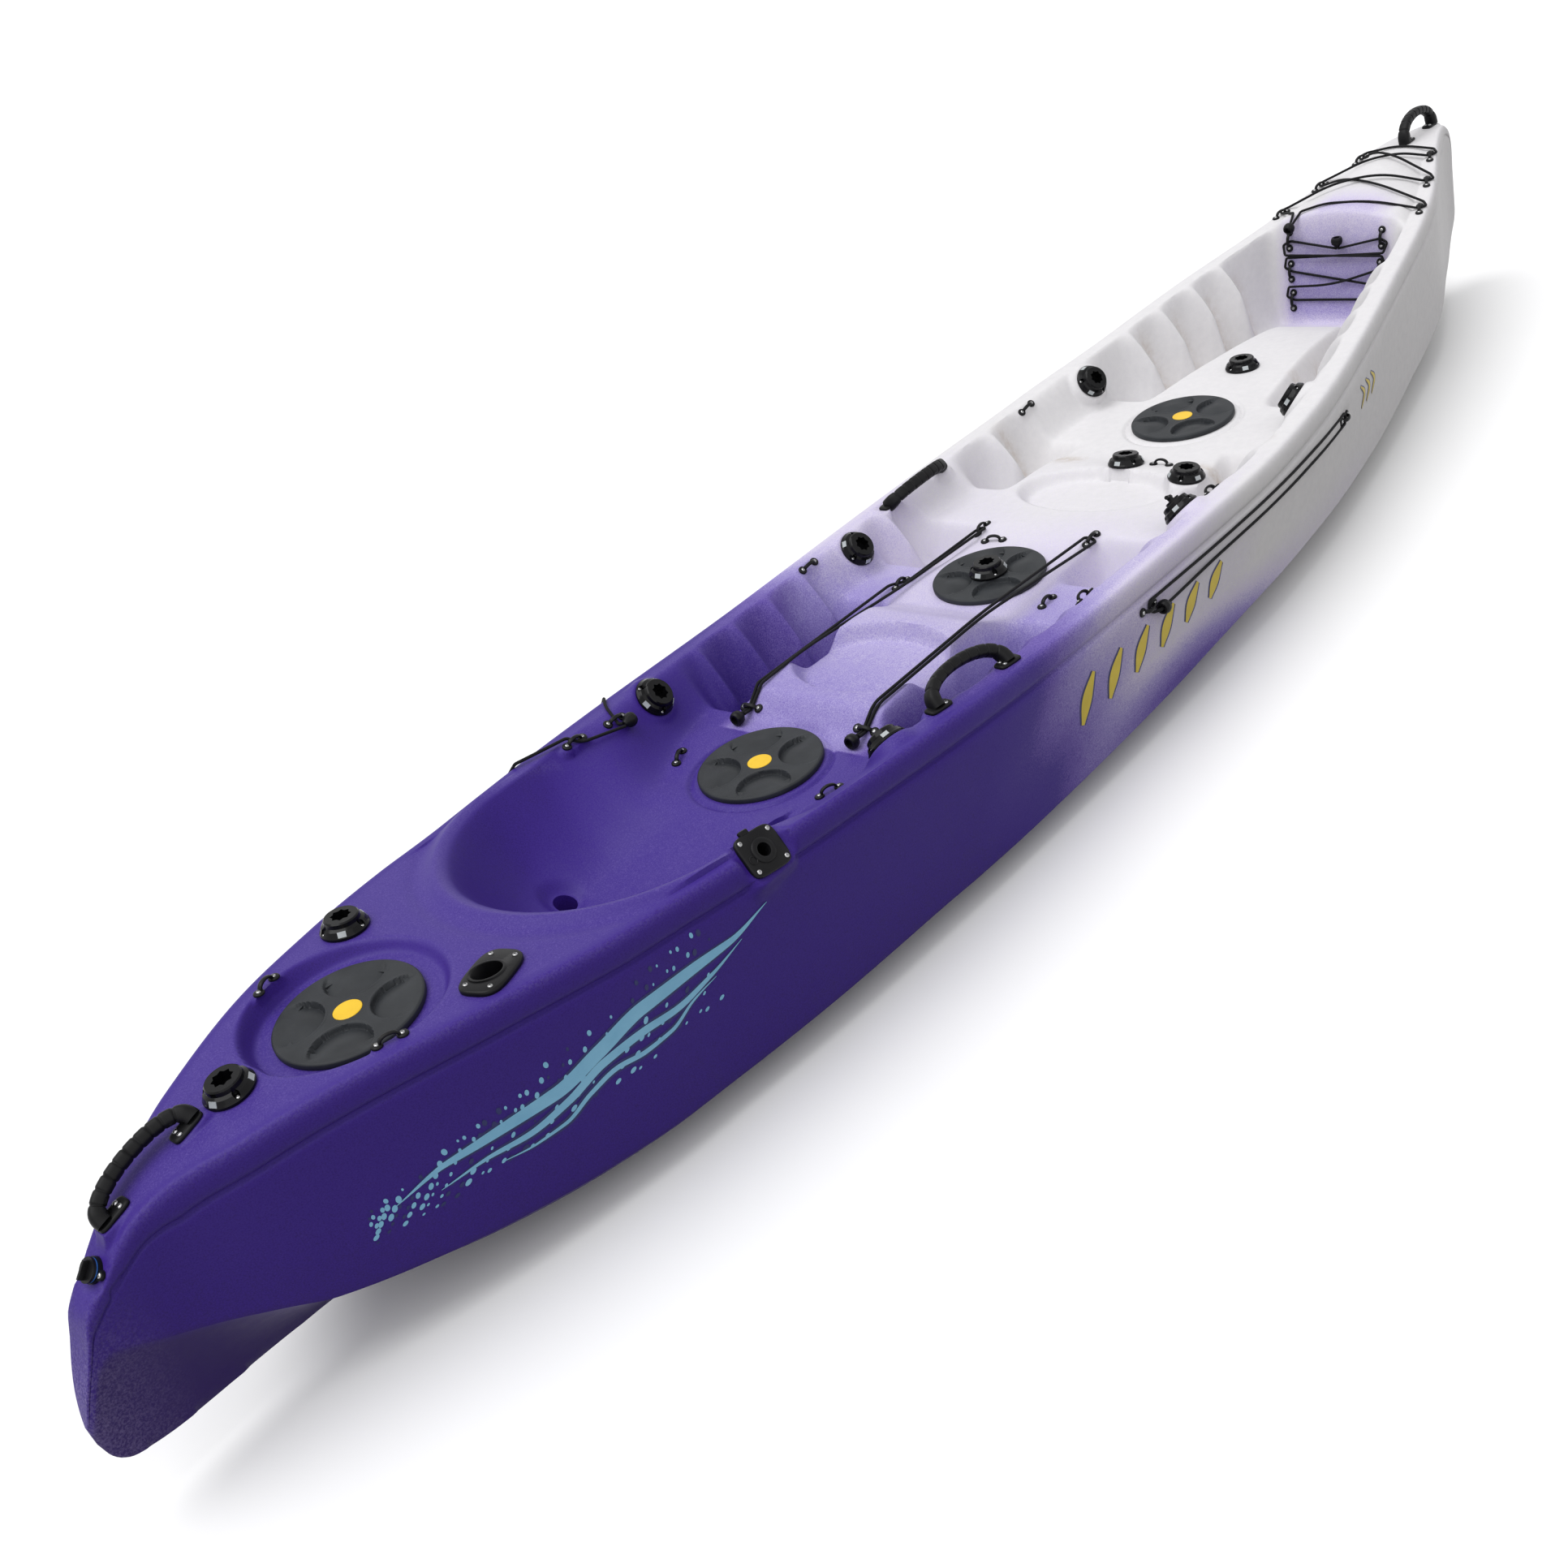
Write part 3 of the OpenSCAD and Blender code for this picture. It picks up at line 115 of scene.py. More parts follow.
# Fittings: [station, distance to port, spin], or the height of side padeyes, and the span of handles
PUCKS = [[-1859, 0, 20], [-1536, 162, 50], [-745, 276, 10], [-745, -276, 60], [-94, 305, 80], [775, 266, 30],
    [474, 5, 0], [416, -174, 70], [182, -301, 30], [1008, 5, 40], [720, -272, 20]]
DECK_PADEYES = [[-1690, 150, 20], [-1690, -150, -20], [-810, 178, 25], [-810, -178, -25], [-128, 176, 0],
    [-128, -176, 0], [108, 132, 0], [108, -132, 0], [-222, 326, 0], [-202, -318, 0], [486, -74, 90],
    [582, 319, 0], [272, -316, 0], [-949, 270, 0], [-642, 140, 90], [-642, -132, 90], [-852, 268, 0],
    [76, 84, -72], [1600, 180, -20], [1600, -180, 20], [1742, 140, -20], [1742, -140, 20], [1880, 92, -20],
    [1880, -92, 20]]
BULKHEAD_PADEYES = [[1516, 120, 0], [1516, -120, 0], [1501, 116, 0], [1501, -116, 0], [1487, 111, 0],
    [1487, -111, 0]]
SIDE_PADEYES = [[-100, 272], [780, 246]]
BOW_EYES_FROM = 18
HANDLES = [[-2000, 0, 0, 112], [2030, 0, 0, 112], [158, 334, 0, 150], [-554, -318, -6, 150]]
# Their nodes, with the rise and the lean of the drawn strap
HANDLE_LOOKS = [("stern_handle", 28, 45), ("bow_handle", 46, 8),
                ("port_handle", 34, -50), ("starboard_handle", 40, 40)]
PUCK_RADIUS, PADEYE_SPAN, HANDLE_TAB, GRIP = 39.0, 38.0, 52.0, 24.0
ROD_HOLDER, ROD_SPIN, ROD_RAKE = (-1518, -166), -18, 30
# Turn of the drawn flange from the part's own
ROD_TURN = 39.0
ROD_FLANGE = (108.0, 74.0)
PLATE, PLATE_TILT, PLATE_SIDE = (-1090, -296, 388), 48, 78.0
DRAIN_X = -2122.0


def unit(v):
    return np.clip(v, 0, 1)


def bell(v):
    return np.exp(-v ** 2)


def about(axis, angle):
    """Turn about X, Y or Z as a matrix."""
    i, j = (axis + 1) % 3, (axis + 2) % 3
    m = np.eye(3)
    m[i, i] = m[j, j] = cos(angle)
    m[j, i] = sin(angle)
    m[i, j] = -m[j, i]
    return m


def fair(table, x):
    """Cubic curve through a table of offsets, without overshoot."""
    t = np.array(table, float)
    xs, ys = t[:, 0], t[:, 1]
    d = np.diff(ys) / np.diff(xs)
    m = np.empty(len(xs))
    m[0], m[-1] = d[0], d[-1]
    a, b = d[:-1], d[1:]
    m[1:-1] = np.where(a * b <= 0, 0, 2 * a * b / np.where(a + b == 0, 1, a + b))
    x = np.clip(np.asarray(x, float), xs[0], xs[-1])
    i = np.clip(np.searchsorted(xs, x, side="right") - 1, 0, len(xs) - 2)
    h = xs[i + 1] - xs[i]
    u = (x - xs[i]) / h
    w = 1 - u
    return (ys[i] * (1 + 2 * u) * w * w + ys[i + 1] * (3 - 2 * u) * u * u
            + h * u * w * (m[i] * w - m[i + 1] * u))


def smooth(a, b, v):
    t = unit((v - a) / (b - a))
    return t * t * (3 - 2 * t)


def stem_share(d):
    """Share of the breadth that is left at a distance from the boat's end."""
    return np.maximum(STEM_BLUNT, np.sqrt(1 - (1 - unit(d / STEM_ROUND)) ** 2))


def half_breadth(x):
    return fair(BREADTH, x) * stem_share(LENGTH / 2 - np.abs(x))


def drawn_breadth(x):
    wide = 6 * smooth(-2050, -1900, x) * smooth(-1250, -1400, x)
    return (fair(DRAWN_BREADTH, x) + wide) * stem_share(np.minimum(x - AFT_END, LENGTH / 2 - x))


def rim(x):
    return np.minimum(RIM, 0.35 * half_breadth(x))


def spine_width(x):
    return fair(SPINE_WIDTH, x)


def in_well(x):
    share = np.zeros_like(x)
    for aft, fore in WELLS:
        share = np.maximum(share, smooth(aft, aft + WELL_RUN, x) * smooth(fore, fore - WELL_RUN, x))
    return share


def side_share(x, y):
    return smooth(0, fair(WALL_RUN, x), half_breadth(x) - rim(x) - y)


def bowl_edge(x, y):
    """Distance inward from the rim of the rear seat bowl, as a share of the bowl's half width."""
    half = half_breadth(BOWL_X) - RIM
    return 1 - np.hypot((x - BOWL_X) / BOWL_LENGTH, y / half)


def deck(x, y, crisp=False):
    """Height of the deck as the part's source has it, or with the bowl and the dishes drawn crisp."""
    x, y = np.broadcast_arrays(np.asarray(x, float), np.abs(np.asarray(y, float)))
    sheer = fair(DRAWN_SHEER if crisp else SHEER, x)
    run = fair(WALL_RUN, BOWL_X) / (half_breadth(BOWL_X) - RIM)
    edge = bowl_edge(x, y)
    share = np.where(x < BOWL_X, smooth(0, run, edge), side_share(x, y))
    if crisp:
        u = unit((np.sqrt(np.maximum(edge, 0) ** 2 + BOWL_SOFT ** 2) - BOWL_SOFT) / (run - BOWL_SOFT))
        front, back = BOWL_X + 60, BOWL_X - 110
        aft = smooth(front, back, x)
        share = share * (1 - aft) + (1 - (1 - u) ** 2.5) * aft
        span = half_breadth(x) - RIM
        ahead = smooth(back, front, x) * smooth(-850, -980, x)
        u = unit((span - y) / (0.80 * span))
        share = share * (1 - ahead) + (1 - (1 - u) ** (2.4 - 0.7 * smooth(-1120, -950, x))) * ahead
    share = share * smooth(0, BULKHEAD_RUN, BULKHEAD_X - x)
    top = fair(SPINE, x)
    for c, a, b, depth in DISHES:
        off = np.hypot((x - c) / a, y / b)
        top = top - (DISH_DEPTH * depth * smooth(1.0, 0.84, off) if crisp else depth * smooth(1, 0.72, off))
    h = spine_width(x)
    sunk = in_well(x) * smooth(h - RIDGE_EDGE / 2, h + RIDGE_EDGE / 2, y)
    floor = top - (top - fair(WELL, x)) * sunk
    inner = half_breadth(x) - rim(x)
    rise = smooth(1420, 1560, x) * smooth(2010, 1740, x)
    crown = BOW_CROWN * rise * (1 - np.minimum(1, (y / inner) ** 2))
    return (sheer + crown) * (1 - share) + floor * share


def dressed_deck(x, y):
    """The drawn deck with its foot ribs, bowl lip, hatch recesses, grooves and scupper funnels."""
    a = np.abs(y)
    z = deck(x, y, True)
    h = spine_width(x)
    ridge_side = smooth(h + 24, h + 62, a) * in_well(x) * side_share(x, a)
    wall = in_well(x) * smooth(h + 14, h + 50, a)
    down = unit((half_breadth(x) - rim(x) - a) / fair(WALL_RUN, x))
    crest = np.zeros_like(x)
    for r in RIBS:
        crest = np.maximum(crest, (1 - unit((np.hypot(x - r, RIB_SOFT) - RIB_SOFT) / RIB_RUN)) ** 1.8)
    reach = wall * (RIB_REACH * crest * down - SCOOP_DEPTH * (1 - crest) * np.sin(pi * down))
    ribbed = deck(x, np.maximum(a + reach, 0)) + 12 * crest * ridge_side
    z = np.where(wall > 0, ribbed + (z - deck(x, a)), z)
    lip = -bowl_edge(x, a) * BOWL_LENGTH
    z = z + (9 * bell((lip - 15) / 16.0) - 3 * bell((lip - 52) / 14.0)) * smooth(-1040, -1180, x)
    for i, (hx, seat, r) in enumerate(HATCHES):
        d = np.hypot(x - hx, y)
        w = smooth(r + 11, r - 9, d)
        z = z * (1 - w) + np.minimum(z, seat) * w
        if i in (1, 3):
            z = z - 6 * bell((d - 129) / 4.5)
    for sx, sy in SCUPPERS:
        z = z - 9 * smooth(44, 20, np.hypot(x - sx, a - sy))
    return z


def bottom_rise(x, t):
    deep = smooth(-1350, -1950, x)
    sharp = smooth(1500, 2100, x)
    return ((1 - np.maximum(deep, sharp)) * (0.15 * t + 0.85 * t ** 6)
            + deep * t ** 0.42 + sharp * t ** 0.9)


def directions(line):
    way = np.gradient(line, axis=0)
    return way / np.linalg.norm(way, axis=1)[:, None]


def corner_cut(p, rounds):
    """Chaikin's corner cutting along axis 1, keeping the end points."""
    for _ in range(rounds):
        a, b = p[:, :-1], p[:, 1:]
        q = np.empty((p.shape[0], 2 * a.shape[1], 2))
        q[:, 0::2] = 0.75 * a + 0.25 * b
        q[:, 1::2] = 0.25 * a + 0.75 * b
        p = np.concatenate([p[:, :1], q, p[:, -1:]], axis=1)
    return p


def stations():
    ends = np.array([0, 1, 2.5, 4.5, 7, 10, 14, 18, 23, 28, 34, 40])
    middle = np.arange(AFT_END + 45, LENGTH / 2 - 45, 5.0)
    return np.concatenate([ends + AFT_END, middle, LENGTH / 2 - ends[::-1]])


def half_sections(x):
    """Half sections from the keel over the side to the middle of the deck, as (breadth, height)."""
    b, s = drawn_breadth(x), fair(DRAWN_SHEER, x)
    k, c = fair(DRAWN_KEEL, x), fair(DRAWN_CHINE, x)
    cb = DRAWN_CHINE_SHARE * b
    deep = smooth(-1350, -1900, x)
    flat = np.minimum(KEEL_FLAT + (5 - KEEL_FLAT) * deep, 0.3 * cb) / cb
    q = np.minimum(np.minimum(1, (s - c) / 150), b / 60)
    t = (1 - (1 - np.linspace(0, 1, BOTTOM_COLUMNS)) ** 1.7)[None, :] + 0 * x[:, None]
    first = bottom_rise(x, flat)[:, None]
    rise = np.where(t <= flat[:, None], 0, (bottom_rise(x[:, None], t) - first) / (1 - first))
    bottom = np.stack([t * cb[:, None], k[:, None] + (c - k)[:, None] * rise], axis=2)
    control = [(cb, c), (cb + 0.6 * q, c + 9 * q), ((cb + b) / 2 - 2 * q, (c + s) / 2 - 30 * q)]
    control += [(b - inset * q, s - drop * q) for inset, drop in GUNWALE]
    control += [(b - np.minimum(10 * q, 0.25 * b), s), (b - np.minimum(24 * q, 0.4 * b), s)]
    side = corner_cut(np.stack([np.stack(p, 1) for p in control], axis=1), 2)
    y = side[:, -1, :1] * (1 - np.linspace(0, 1, DECK_COLUMNS)[None, 1:])
    z = dressed_deck(np.broadcast_to(x[:, None], y.shape), y)
    return np.concatenate([bottom, side[:, 1:], np.stack([y, z], axis=2)], axis=1)


def turn_to(lean, tilt, spin):
    return about(Z, lean) @ about(Y, tilt) @ about(Z, spin - lean)


def deck_frame(x, y, spin, feet, reach=24.0):
    """Origin and axes of a fitting that stands on the deck, as the part's source seats it."""
    nx = float(deck(x - reach, y) - deck(x + reach, y)) / (2 * reach)
    ny = float(deck(x, y - reach) - deck(x, y + reach)) / (2 * reach)
    a = radians(spin)
    c, s = cos(a), sin(a)
    z = max(float(deck(x + u * c - v * s, y + u * s + v * c)) + nx * (u * c - v * s) + ny * (u * s + v * c)
            for u, v in feet)
    return np.array([x, y, z]), turn_to(atan2(ny, nx), atan(hypot(nx, ny)), a)


def rim_frame(x, y, heading, reach):
    low, high = float(deck(x - reach, y)), float(deck(x + reach, y))
    pitch = -atan((high - low) / (2 * reach))
    origin = np.array([x, y, (low + high + 2 * float(deck(x, y))) / 4])
    return origin, about(Z, radians(heading)) @ about(Y, pitch)


def plate_frame():
    return np.array(PLATE, float), about(X, radians(PLATE_TILT))


def rod_frame():
    return deck_frame(*ROD_HOLDER, ROD_SPIN, ROD_FEET)


def drain_frame():
    return deck_frame(DRAIN_X, 0, 0, DRAIN_FEET, 20.0)


def side_breadth(x, z):
    b, c = half_breadth(x), fair(CHINE, x)
    share = unit((z - c) / (fair(SHEER, x) - 64 - c))
    return CHINE_SHARE * b + (b - 5 - CHINE_SHARE * b) * share


def side_frame(x, z):
    probe = 24.0
    swing = atan(float(side_breadth(x + probe, z) - side_breadth(x - probe, z)) / (2 * probe))
    flare = atan(float(side_breadth(x, z + probe) - side_breadth(x, z - probe)) / (2 * probe))
    return np.array([x, -float(side_breadth(x, z)), z]), about(Z, -swing) @ about(X, pi / 2 + flare)


def eye_frames():
    """Frames of the padeyes by the place that their node is named for."""
    on_deck = [deck_frame(*p, PADEYE_FEET) for p in DECK_PADEYES]
    return {"deck": on_deck[:BOW_EYES_FROM], "bow": on_deck[BOW_EYES_FROM:],
            "bulkhead": [deck_frame(*p, [(0, 0)], 6.0) for p in BULKHEAD_PADEYES],
            "side": [side_frame(*p) for p in SIDE_PADEYES]}


def ring_feet(radius, step=45):
    return [(radius * cos(radians(a)), radius * sin(radians(a))) for a in range(0, 360, step)]


PADEYE_FEET = [(e * PADEYE_SPAN / 2 + u, v) for e in (-1, 1) for u, v in ring_feet(6, 90)]
ROD_FEET = [(u * ROD_FLANGE[0], v * ROD_FLANGE[1]) for u in (-0.5, 0.5) for v in (-0.5, 0, 0.5)]
DRAIN_FEET = [(0, u * 40) for u in (-0.5, 0, 0.5)]


def box_distance(u, v, half_u, half_v):
    return np.hypot(np.maximum(np.abs(u) - half_u, 0), np.maximum(np.abs(v) - half_v, 0))


def seat_pads():
    """Moulded flats under the fittings: (origin, axes, half length, half width, corner, blend, reach)."""
    pads = [(*deck_frame(*p, ring_feet(PUCK_RADIUS)), 0, 0, PUCK_RADIUS + 1.5, 14, 26) for p in PUCKS]
    for place, frames in eye_frames().items():
        reach = 14 if place in ("deck", "bow") else 12
        pads += [(o, r, PADEYE_SPAN / 2, 0, 9.5, 7, reach) for o, r in frames]
    for x, y, heading, span in HANDLES:
        o, r = rim_frame(x, y, heading, span / 2)
        middle = (span + HANDLE_TAB) / 2 - GRIP / 2
        pads += [(o + r @ np.array([end * middle, 0, 0]), r, HANDLE_TAB / 2 - 4, GRIP / 2 - 4, 5.5, 9, 24)
                 for end in (-1, 1)]
    o, r = rod_frame()
    pads.append((o, r @ about(Z, radians(ROD_TURN)),
                 ROD_FLANGE[0] / 2 - 10, ROD_FLANGE[1] / 2 - 10, 12, 14, 26))
    pads.append((*plate_frame(), PLATE_SIDE / 2 - 8, PLATE_SIDE / 2 - 8, 9, 16, 34))
    pads.append((*drain_frame(), 12, 20, 8, 10, 20))
    return pads


def flatten_pads(p):
    """Moves skin points onto the seat planes of the fittings, fading out round them."""
    for o, r, half_u, half_v, corner, blend, reach in seat_pads():
        near = np.abs(p - o).max(axis=1) < 130
        q = (p[near] - o) @ r
        d = box_distance(q[:, 0], q[:, 1], half_u, half_v)
        w = smooth(corner + blend, corner, d) * (np.abs(q[:, 2]) < reach)
        q[:, 2] -= w * q[:, 2]
        p[near] = o + q @ r.T
    return p


def new_object(name, verts, faces, body="boat"):
    mesh = bpy.data.meshes.new(name)
    mesh.from_pydata([tuple(v) for v in verts], [], [tuple(f) for f in faces])
    mesh.update()
    obj = bpy.data.objects.new(name, mesh)
    bpy.context.scene.collection.objects.link(obj)
    if body:
        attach(obj, body)
    return obj


def loops_solid(loops):
    """Closed mesh over a stack of loops with equal counts, capped at both ends."""
    p = np.array(loops, float)
    n, m = p.shape[:2]
    index = np.arange(n * m).reshape(n, m)
    a, b = index[:-1], index[1:]
    quads = np.stack([a, np.roll(a, -1, 1), np.roll(b, -1, 1), b], axis=2).reshape(-1, 4)
    return p.reshape(-1, 3), [tuple(f) for f in quads] + [tuple(index[0][::-1]), tuple(index[-1])]


def joined(meshes):
    """One mesh, as vertices and faces, from several."""
    verts, faces = [], []
    for points, polygons in meshes:
        base = len(verts)
        verts.extend(points)
        faces.extend(tuple(i + base for i in f) for f in polygons)
    return np.array(verts), faces


def tube_cutter(o, axis, radius, low, high, sides=40):
    """Closed cylinder along an axis."""
    axis = np.asarray(axis, float) / np.linalg.norm(axis)
    side = np.cross(axis, (1.0, 0, 0) if abs(axis[0]) < 0.9 else (0, 1.0, 0))
    side /= np.linalg.norm(side)
    up = np.cross(axis, side)
    turns = [2 * pi * i / sides for i in range(sides)]
    ring = np.array([radius * (cos(a) * side + sin(a) * up) for a in turns])
    return loops_solid([np.asarray(o) + axis * end + ring for end in (low, high)])


def hull_cutters():
    """Bores through the skin: scuppers, hatches, rod tube, gunwale plate and drain."""
    upright = (0, 0, 1)
    cuts = [tube_cutter((x, side * y, 0), upright, 19.5, -20, 420) for x, y in SCUPPERS for side in (-1, 1)]
    cuts += [tube_cutter((x, 0, seat), upright, 94.5, -150, 60, 96) for x, seat, _ in HATCHES]
    o, r = rod_frame()
    rake = radians(ROD_RAKE)
    cuts.append(tube_cutter(o, r @ np.array([-sin(rake), 0, cos(rake)]), 26, -206, 40))
    for (o, r), radius, low, high in ((plate_frame(), 15.5, -44, 40), (drain_frame(), 17, -24, 30)):
        cuts.append(tube_cutter(o, r[:, 2], radius, low, high))
    verts, faces = joined(cuts)
    return verts * MM, faces


def ease_starboard(p):
    """Lets the deck beside the second lid run up to the starboard gunwale in one slope."""
    x, a = p[:, 0], -p[:, 1]
    outer, inner, low = drawn_breadth(x) - 13, 165, 286
    w = smooth(-1070, -895, x) * smooth(-772, -815, x) * (p[:, 2] > 260) * (a > 150) * (a < outer)
    u = unit((outer - a) / (outer - inner)) ** 0.9
    slope = fair(DRAWN_SHEER, x) * (1 - u) + low * u
    p[:, 2] += w * (np.minimum(slope, p[:, 2]) - p[:, 2])
    return p


def hull_mesh():
    x = stations()
    half = half_sections(x)
    ring = np.concatenate([half, half[:, -2:0:-1] * np.array([-1, 1])], axis=1)
    points = np.empty((*ring.shape[:2], 3))
    points[:, :, 0] = x[:, None]
    points[:, :, 1:] = ring
    skin = flatten_pads(ease_starboard(points.reshape(-1, 3)))
    verts, faces = loops_solid(skin.reshape(points.shape))
    return verts * MM, faces


def make_hull():
    verts, faces = hull_mesh()
    hull = new_object("hull_skin", verts, faces, None)
    cutter = new_object("hull_cutter", *hull_cutters(), None)
    for o in (hull, cutter):
        o.data.validate()
    cut = hull.modifiers.new("cut", "BOOLEAN")
    cut.operation = "DIFFERENCE"
    cut.object = cutter
    cut.solver = "MANIFOLD"
    bpy.context.view_layer.update()
    evaluated = hull.evaluated_get(bpy.context.evaluated_depsgraph_get())
    final = bpy.data.meshes.new_from_object(evaluated)
    hull.modifiers.clear()
    hull.data = final
    bpy.data.objects.remove(cutter)
    final.shade_smooth()
    final.set_sharp_from_angle(angle=radians(42))
    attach(hull, "boat")
    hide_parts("hull")
    return hull


LID_RADIUS, LID_EDGE, LID_TOP, LID_UNDER, DISC_RADIUS = 114.0, 110, 12.0, 1.5, 22.3
SPIGOT_RADIUS, SPIGOT_END, PLAIN_LID = 88, -18, 2


def lid_height_at(x, y, disc):
    """Top of a lid with its four finger recesses: deep along an arc near the middle, fading outwards."""
    r = np.hypot(x, y)
    z = LID_TOP - 0.7 * (r / LID_RADIUS) ** 2 - 2.6 * unit((r - LID_EDGE) / 4) ** 2
    for k in range(4):
        a = radians(45 + 90 * k)
        u, v = x * cos(a) + y * sin(a), y * cos(a) - x * sin(a)
        inside = 48 - np.hypot(u - 82, v)
        depth = smooth(-0.3, 2.8, inside) * (1 - unit(inside / 44)) ** 1.3 * smooth(104, 66, u)
        z = z - 10.0 * depth
        z = z + 0.6 * bell((inside + 2.2) / 1.8) * smooth(100, 70, u)
    if disc:
        z = np.where(r < DISC_RADIUS, LID_TOP - 2, z)
    return z


def make_lid(i, hx, seat):
    """One sculpted screw lid, closed, with its threaded spigot underneath."""
    turns = 216
    rings = np.concatenate([np.linspace(0.5, DISC_RADIUS - 0.2, 8), np.linspace(DISC_RADIUS + 0.2, LID_EDGE, 84),
                            np.linspace(LID_EDGE + 0.6, LID_RADIUS, 8)])
    angle = np.arange(turns) * 2 * pi / turns
    rr, aa = np.meshgrid(rings, angle, indexing="ij")
    x, y = rr * np.cos(aa), rr * np.sin(aa)
    top = np.stack([x, y, lid_height_at(x, y, i != PLAIN_LID)], axis=2)
    under = [(LID_RADIUS, 2.2), (LID_RADIUS - 0.4, 1.0), (LID_RADIUS - 1.4, 0.4),
             (108.4, 0.4), (108.4, 7.6), (SPIGOT_RADIUS, 7.6)]
    for k in range(4):
        under += [(SPIGOT_RADIUS, -2.0 - 4 * k), (87.2, -2.8 - 4 * k), (87.2, -4.4 - 4 * k),
                  (SPIGOT_RADIUS, -5.2 - 4 * k)]
    under += [(SPIGOT_RADIUS, SPIGOT_END), (84, SPIGOT_END)] + [(r, LID_UNDER) for r in (84, 60, 20, 0.5)]
    lower = np.array([[(r * cos(a), r * sin(a), z) for a in angle] for r, z in under])
    points, faces = loops_solid(np.concatenate([top, lower]) + np.array([hx, 0, seat]))
    outward = [f[:1] + f[:0:-1] for f in faces]
    lid = new_object(f"lid_form_{i + 1}", points * MM, outward, f"lid_{i + 1}")
    lid.data.shade_smooth()
    lid.data.set_sharp_from_angle(angle=radians(40))
    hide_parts(f"hatch_lid_{i + 1}")
    return lid


def side_skin(x, z):
    """Half breadth of the drawn side at stations and heights, in millimetres."""
    out = np.empty_like(z)
    for i, part in enumerate(half_sections(x)[:, SIDE_COLUMNS]):
        out[i] = np.interp(z[i], np.maximum.accumulate(part[:, 1]), part[:, 0])
    return out


def stroke(name, spine, widths, material, lift, steps):
    """A flat mark on the starboard side along a curve of (station, height), as wide as its table says."""
    s = np.linspace(0, 1, steps)

    def along(values):
        return fair(np.stack([np.linspace(0, 1, len(values)), np.array(values, float)], 1), s)
    line = np.stack([along(values) for values in zip(*spine)], axis=1)
    way = directions(line)
    across = np.stack([-way[:, 1], way[:, 0]], axis=1)
    wide = along(widths)
    cols = 7
    verts = []
    for f in np.linspace(-0.5, 0.5, cols):
        q = line + across * (wide * f)[:, None]
        verts.append(np.stack([q[:, 0], -side_skin(q[:, 0], q[:, 1]) - lift, q[:, 1]], axis=1))
    index = np.arange(cols * steps).reshape(cols, steps)
    a, b = index[:-1], index[1:]
    quads = np.stack([a[:, :-1], a[:, 1:], b[:, 1:], b[:, :-1]], axis=2).reshape(-1, 4)
    mark = new_object(name, np.concatenate(verts) * MM, quads)
    mark.data.shade_smooth()
    mark.data.materials.append(material)


# Fittings: lathes, sweeps and plates, in millimetres in their own frames
def round_square(count, power=1):
    """Unit loop between a circle, at a power of 1, and a square, at 0."""
    a = np.arange(count) * 2 * pi / count
    return [np.sign(w) * np.abs(w) ** power for w in (np.cos(a), np.sin(a))]


def level(u, v, z):
    return np.stack([u, v, 0 * u + z], 1)


def lathe(profile, sides=28):
    u, v = round_square(sides)
    return loops_solid([level(r * u, r * v, z) for r, z in profile])


def sweep(path, wide, thick, across, count):
    """Rounded bar along a plane path; across is the direction square to that plane."""
    lift = np.cross(directions(path), across)
    u, v = round_square(count, 0.7)
    return loops_solid(path[:, None] + (wide[:, None] * u)[..., None] * across
                       + (thick[:, None] * v)[..., None] * lift[:, None])


def rounded_plate(half_u, half_v, corner, levels, count=96):
    """Plate with round corners: levels are (height, inset)."""
    u, v = round_square(count, 2.0 / (2.0 + 10.0 * (1 - corner)))
    return loops_solid([level((half_u - i) * u, (half_v - i) * v, z) for z, i in levels])


def placed(mesh, o, r, *at):
    """A mesh at a place in a fitting's frame."""
    return mesh, o + r @ np.array(at), r


def screw(o, r, *at):
    return placed(lathe(SCREW, 16), o, r, *at)


def gather(name, parts, material, node):
    """One object from parts (mesh, origin, axes), standing for a CAD node."""
    verts, faces = joined([(o + points @ r.T, quads) for (points, quads), o, r in parts])
    obj = new_object(name, verts * MM, faces)
    obj.data.shade_smooth()
    obj.data.set_sharp_from_angle(angle=radians(50))
    obj.data.materials.append(material)
    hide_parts(node)


SCREW = [(0.3, 0.0), (4.1, 0.0), (4.2, 0.8), (3.7, 1.7), (2.6, 2.3), (1.9, 2.4), (1.7, 1.0), (0.3, 0.9)]
PADEYE_FOOT = [(0.4, 0.2), (8.7, 0.2), (9.1, 1.2), (8.9, 2.6), (7.9, 3.9), (6.0, 4.3), (0.4, 4.3)]


def padeye_parts(frames):
    """Two round feet and the strap between them, at each frame."""
    t = np.linspace(0, pi, 17)
    path = np.stack([-14.5 * np.cos(t), 0 * t, 2.0 + 10.5 * np.sin(t) ** 0.75], 1)
    strap = sweep(path, 3.9 + 0 * t, 2.4 + 0 * t, np.array([0, 1.0, 0]), 12)
    foot = lathe(PADEYE_FOOT, 24)
    parts = []
    for o, r in frames:
        parts += [placed(foot, o, r, end * PADEYE_SPAN / 2, 0, 0) for end in (-1, 1)] + [(strap, o, r)]
    return parts


def make_padeyes(material):
    for place, frames in eye_frames().items():
        gather(f"{place}_eye_forms", padeye_parts(frames), material, f"{place}_padeyes")


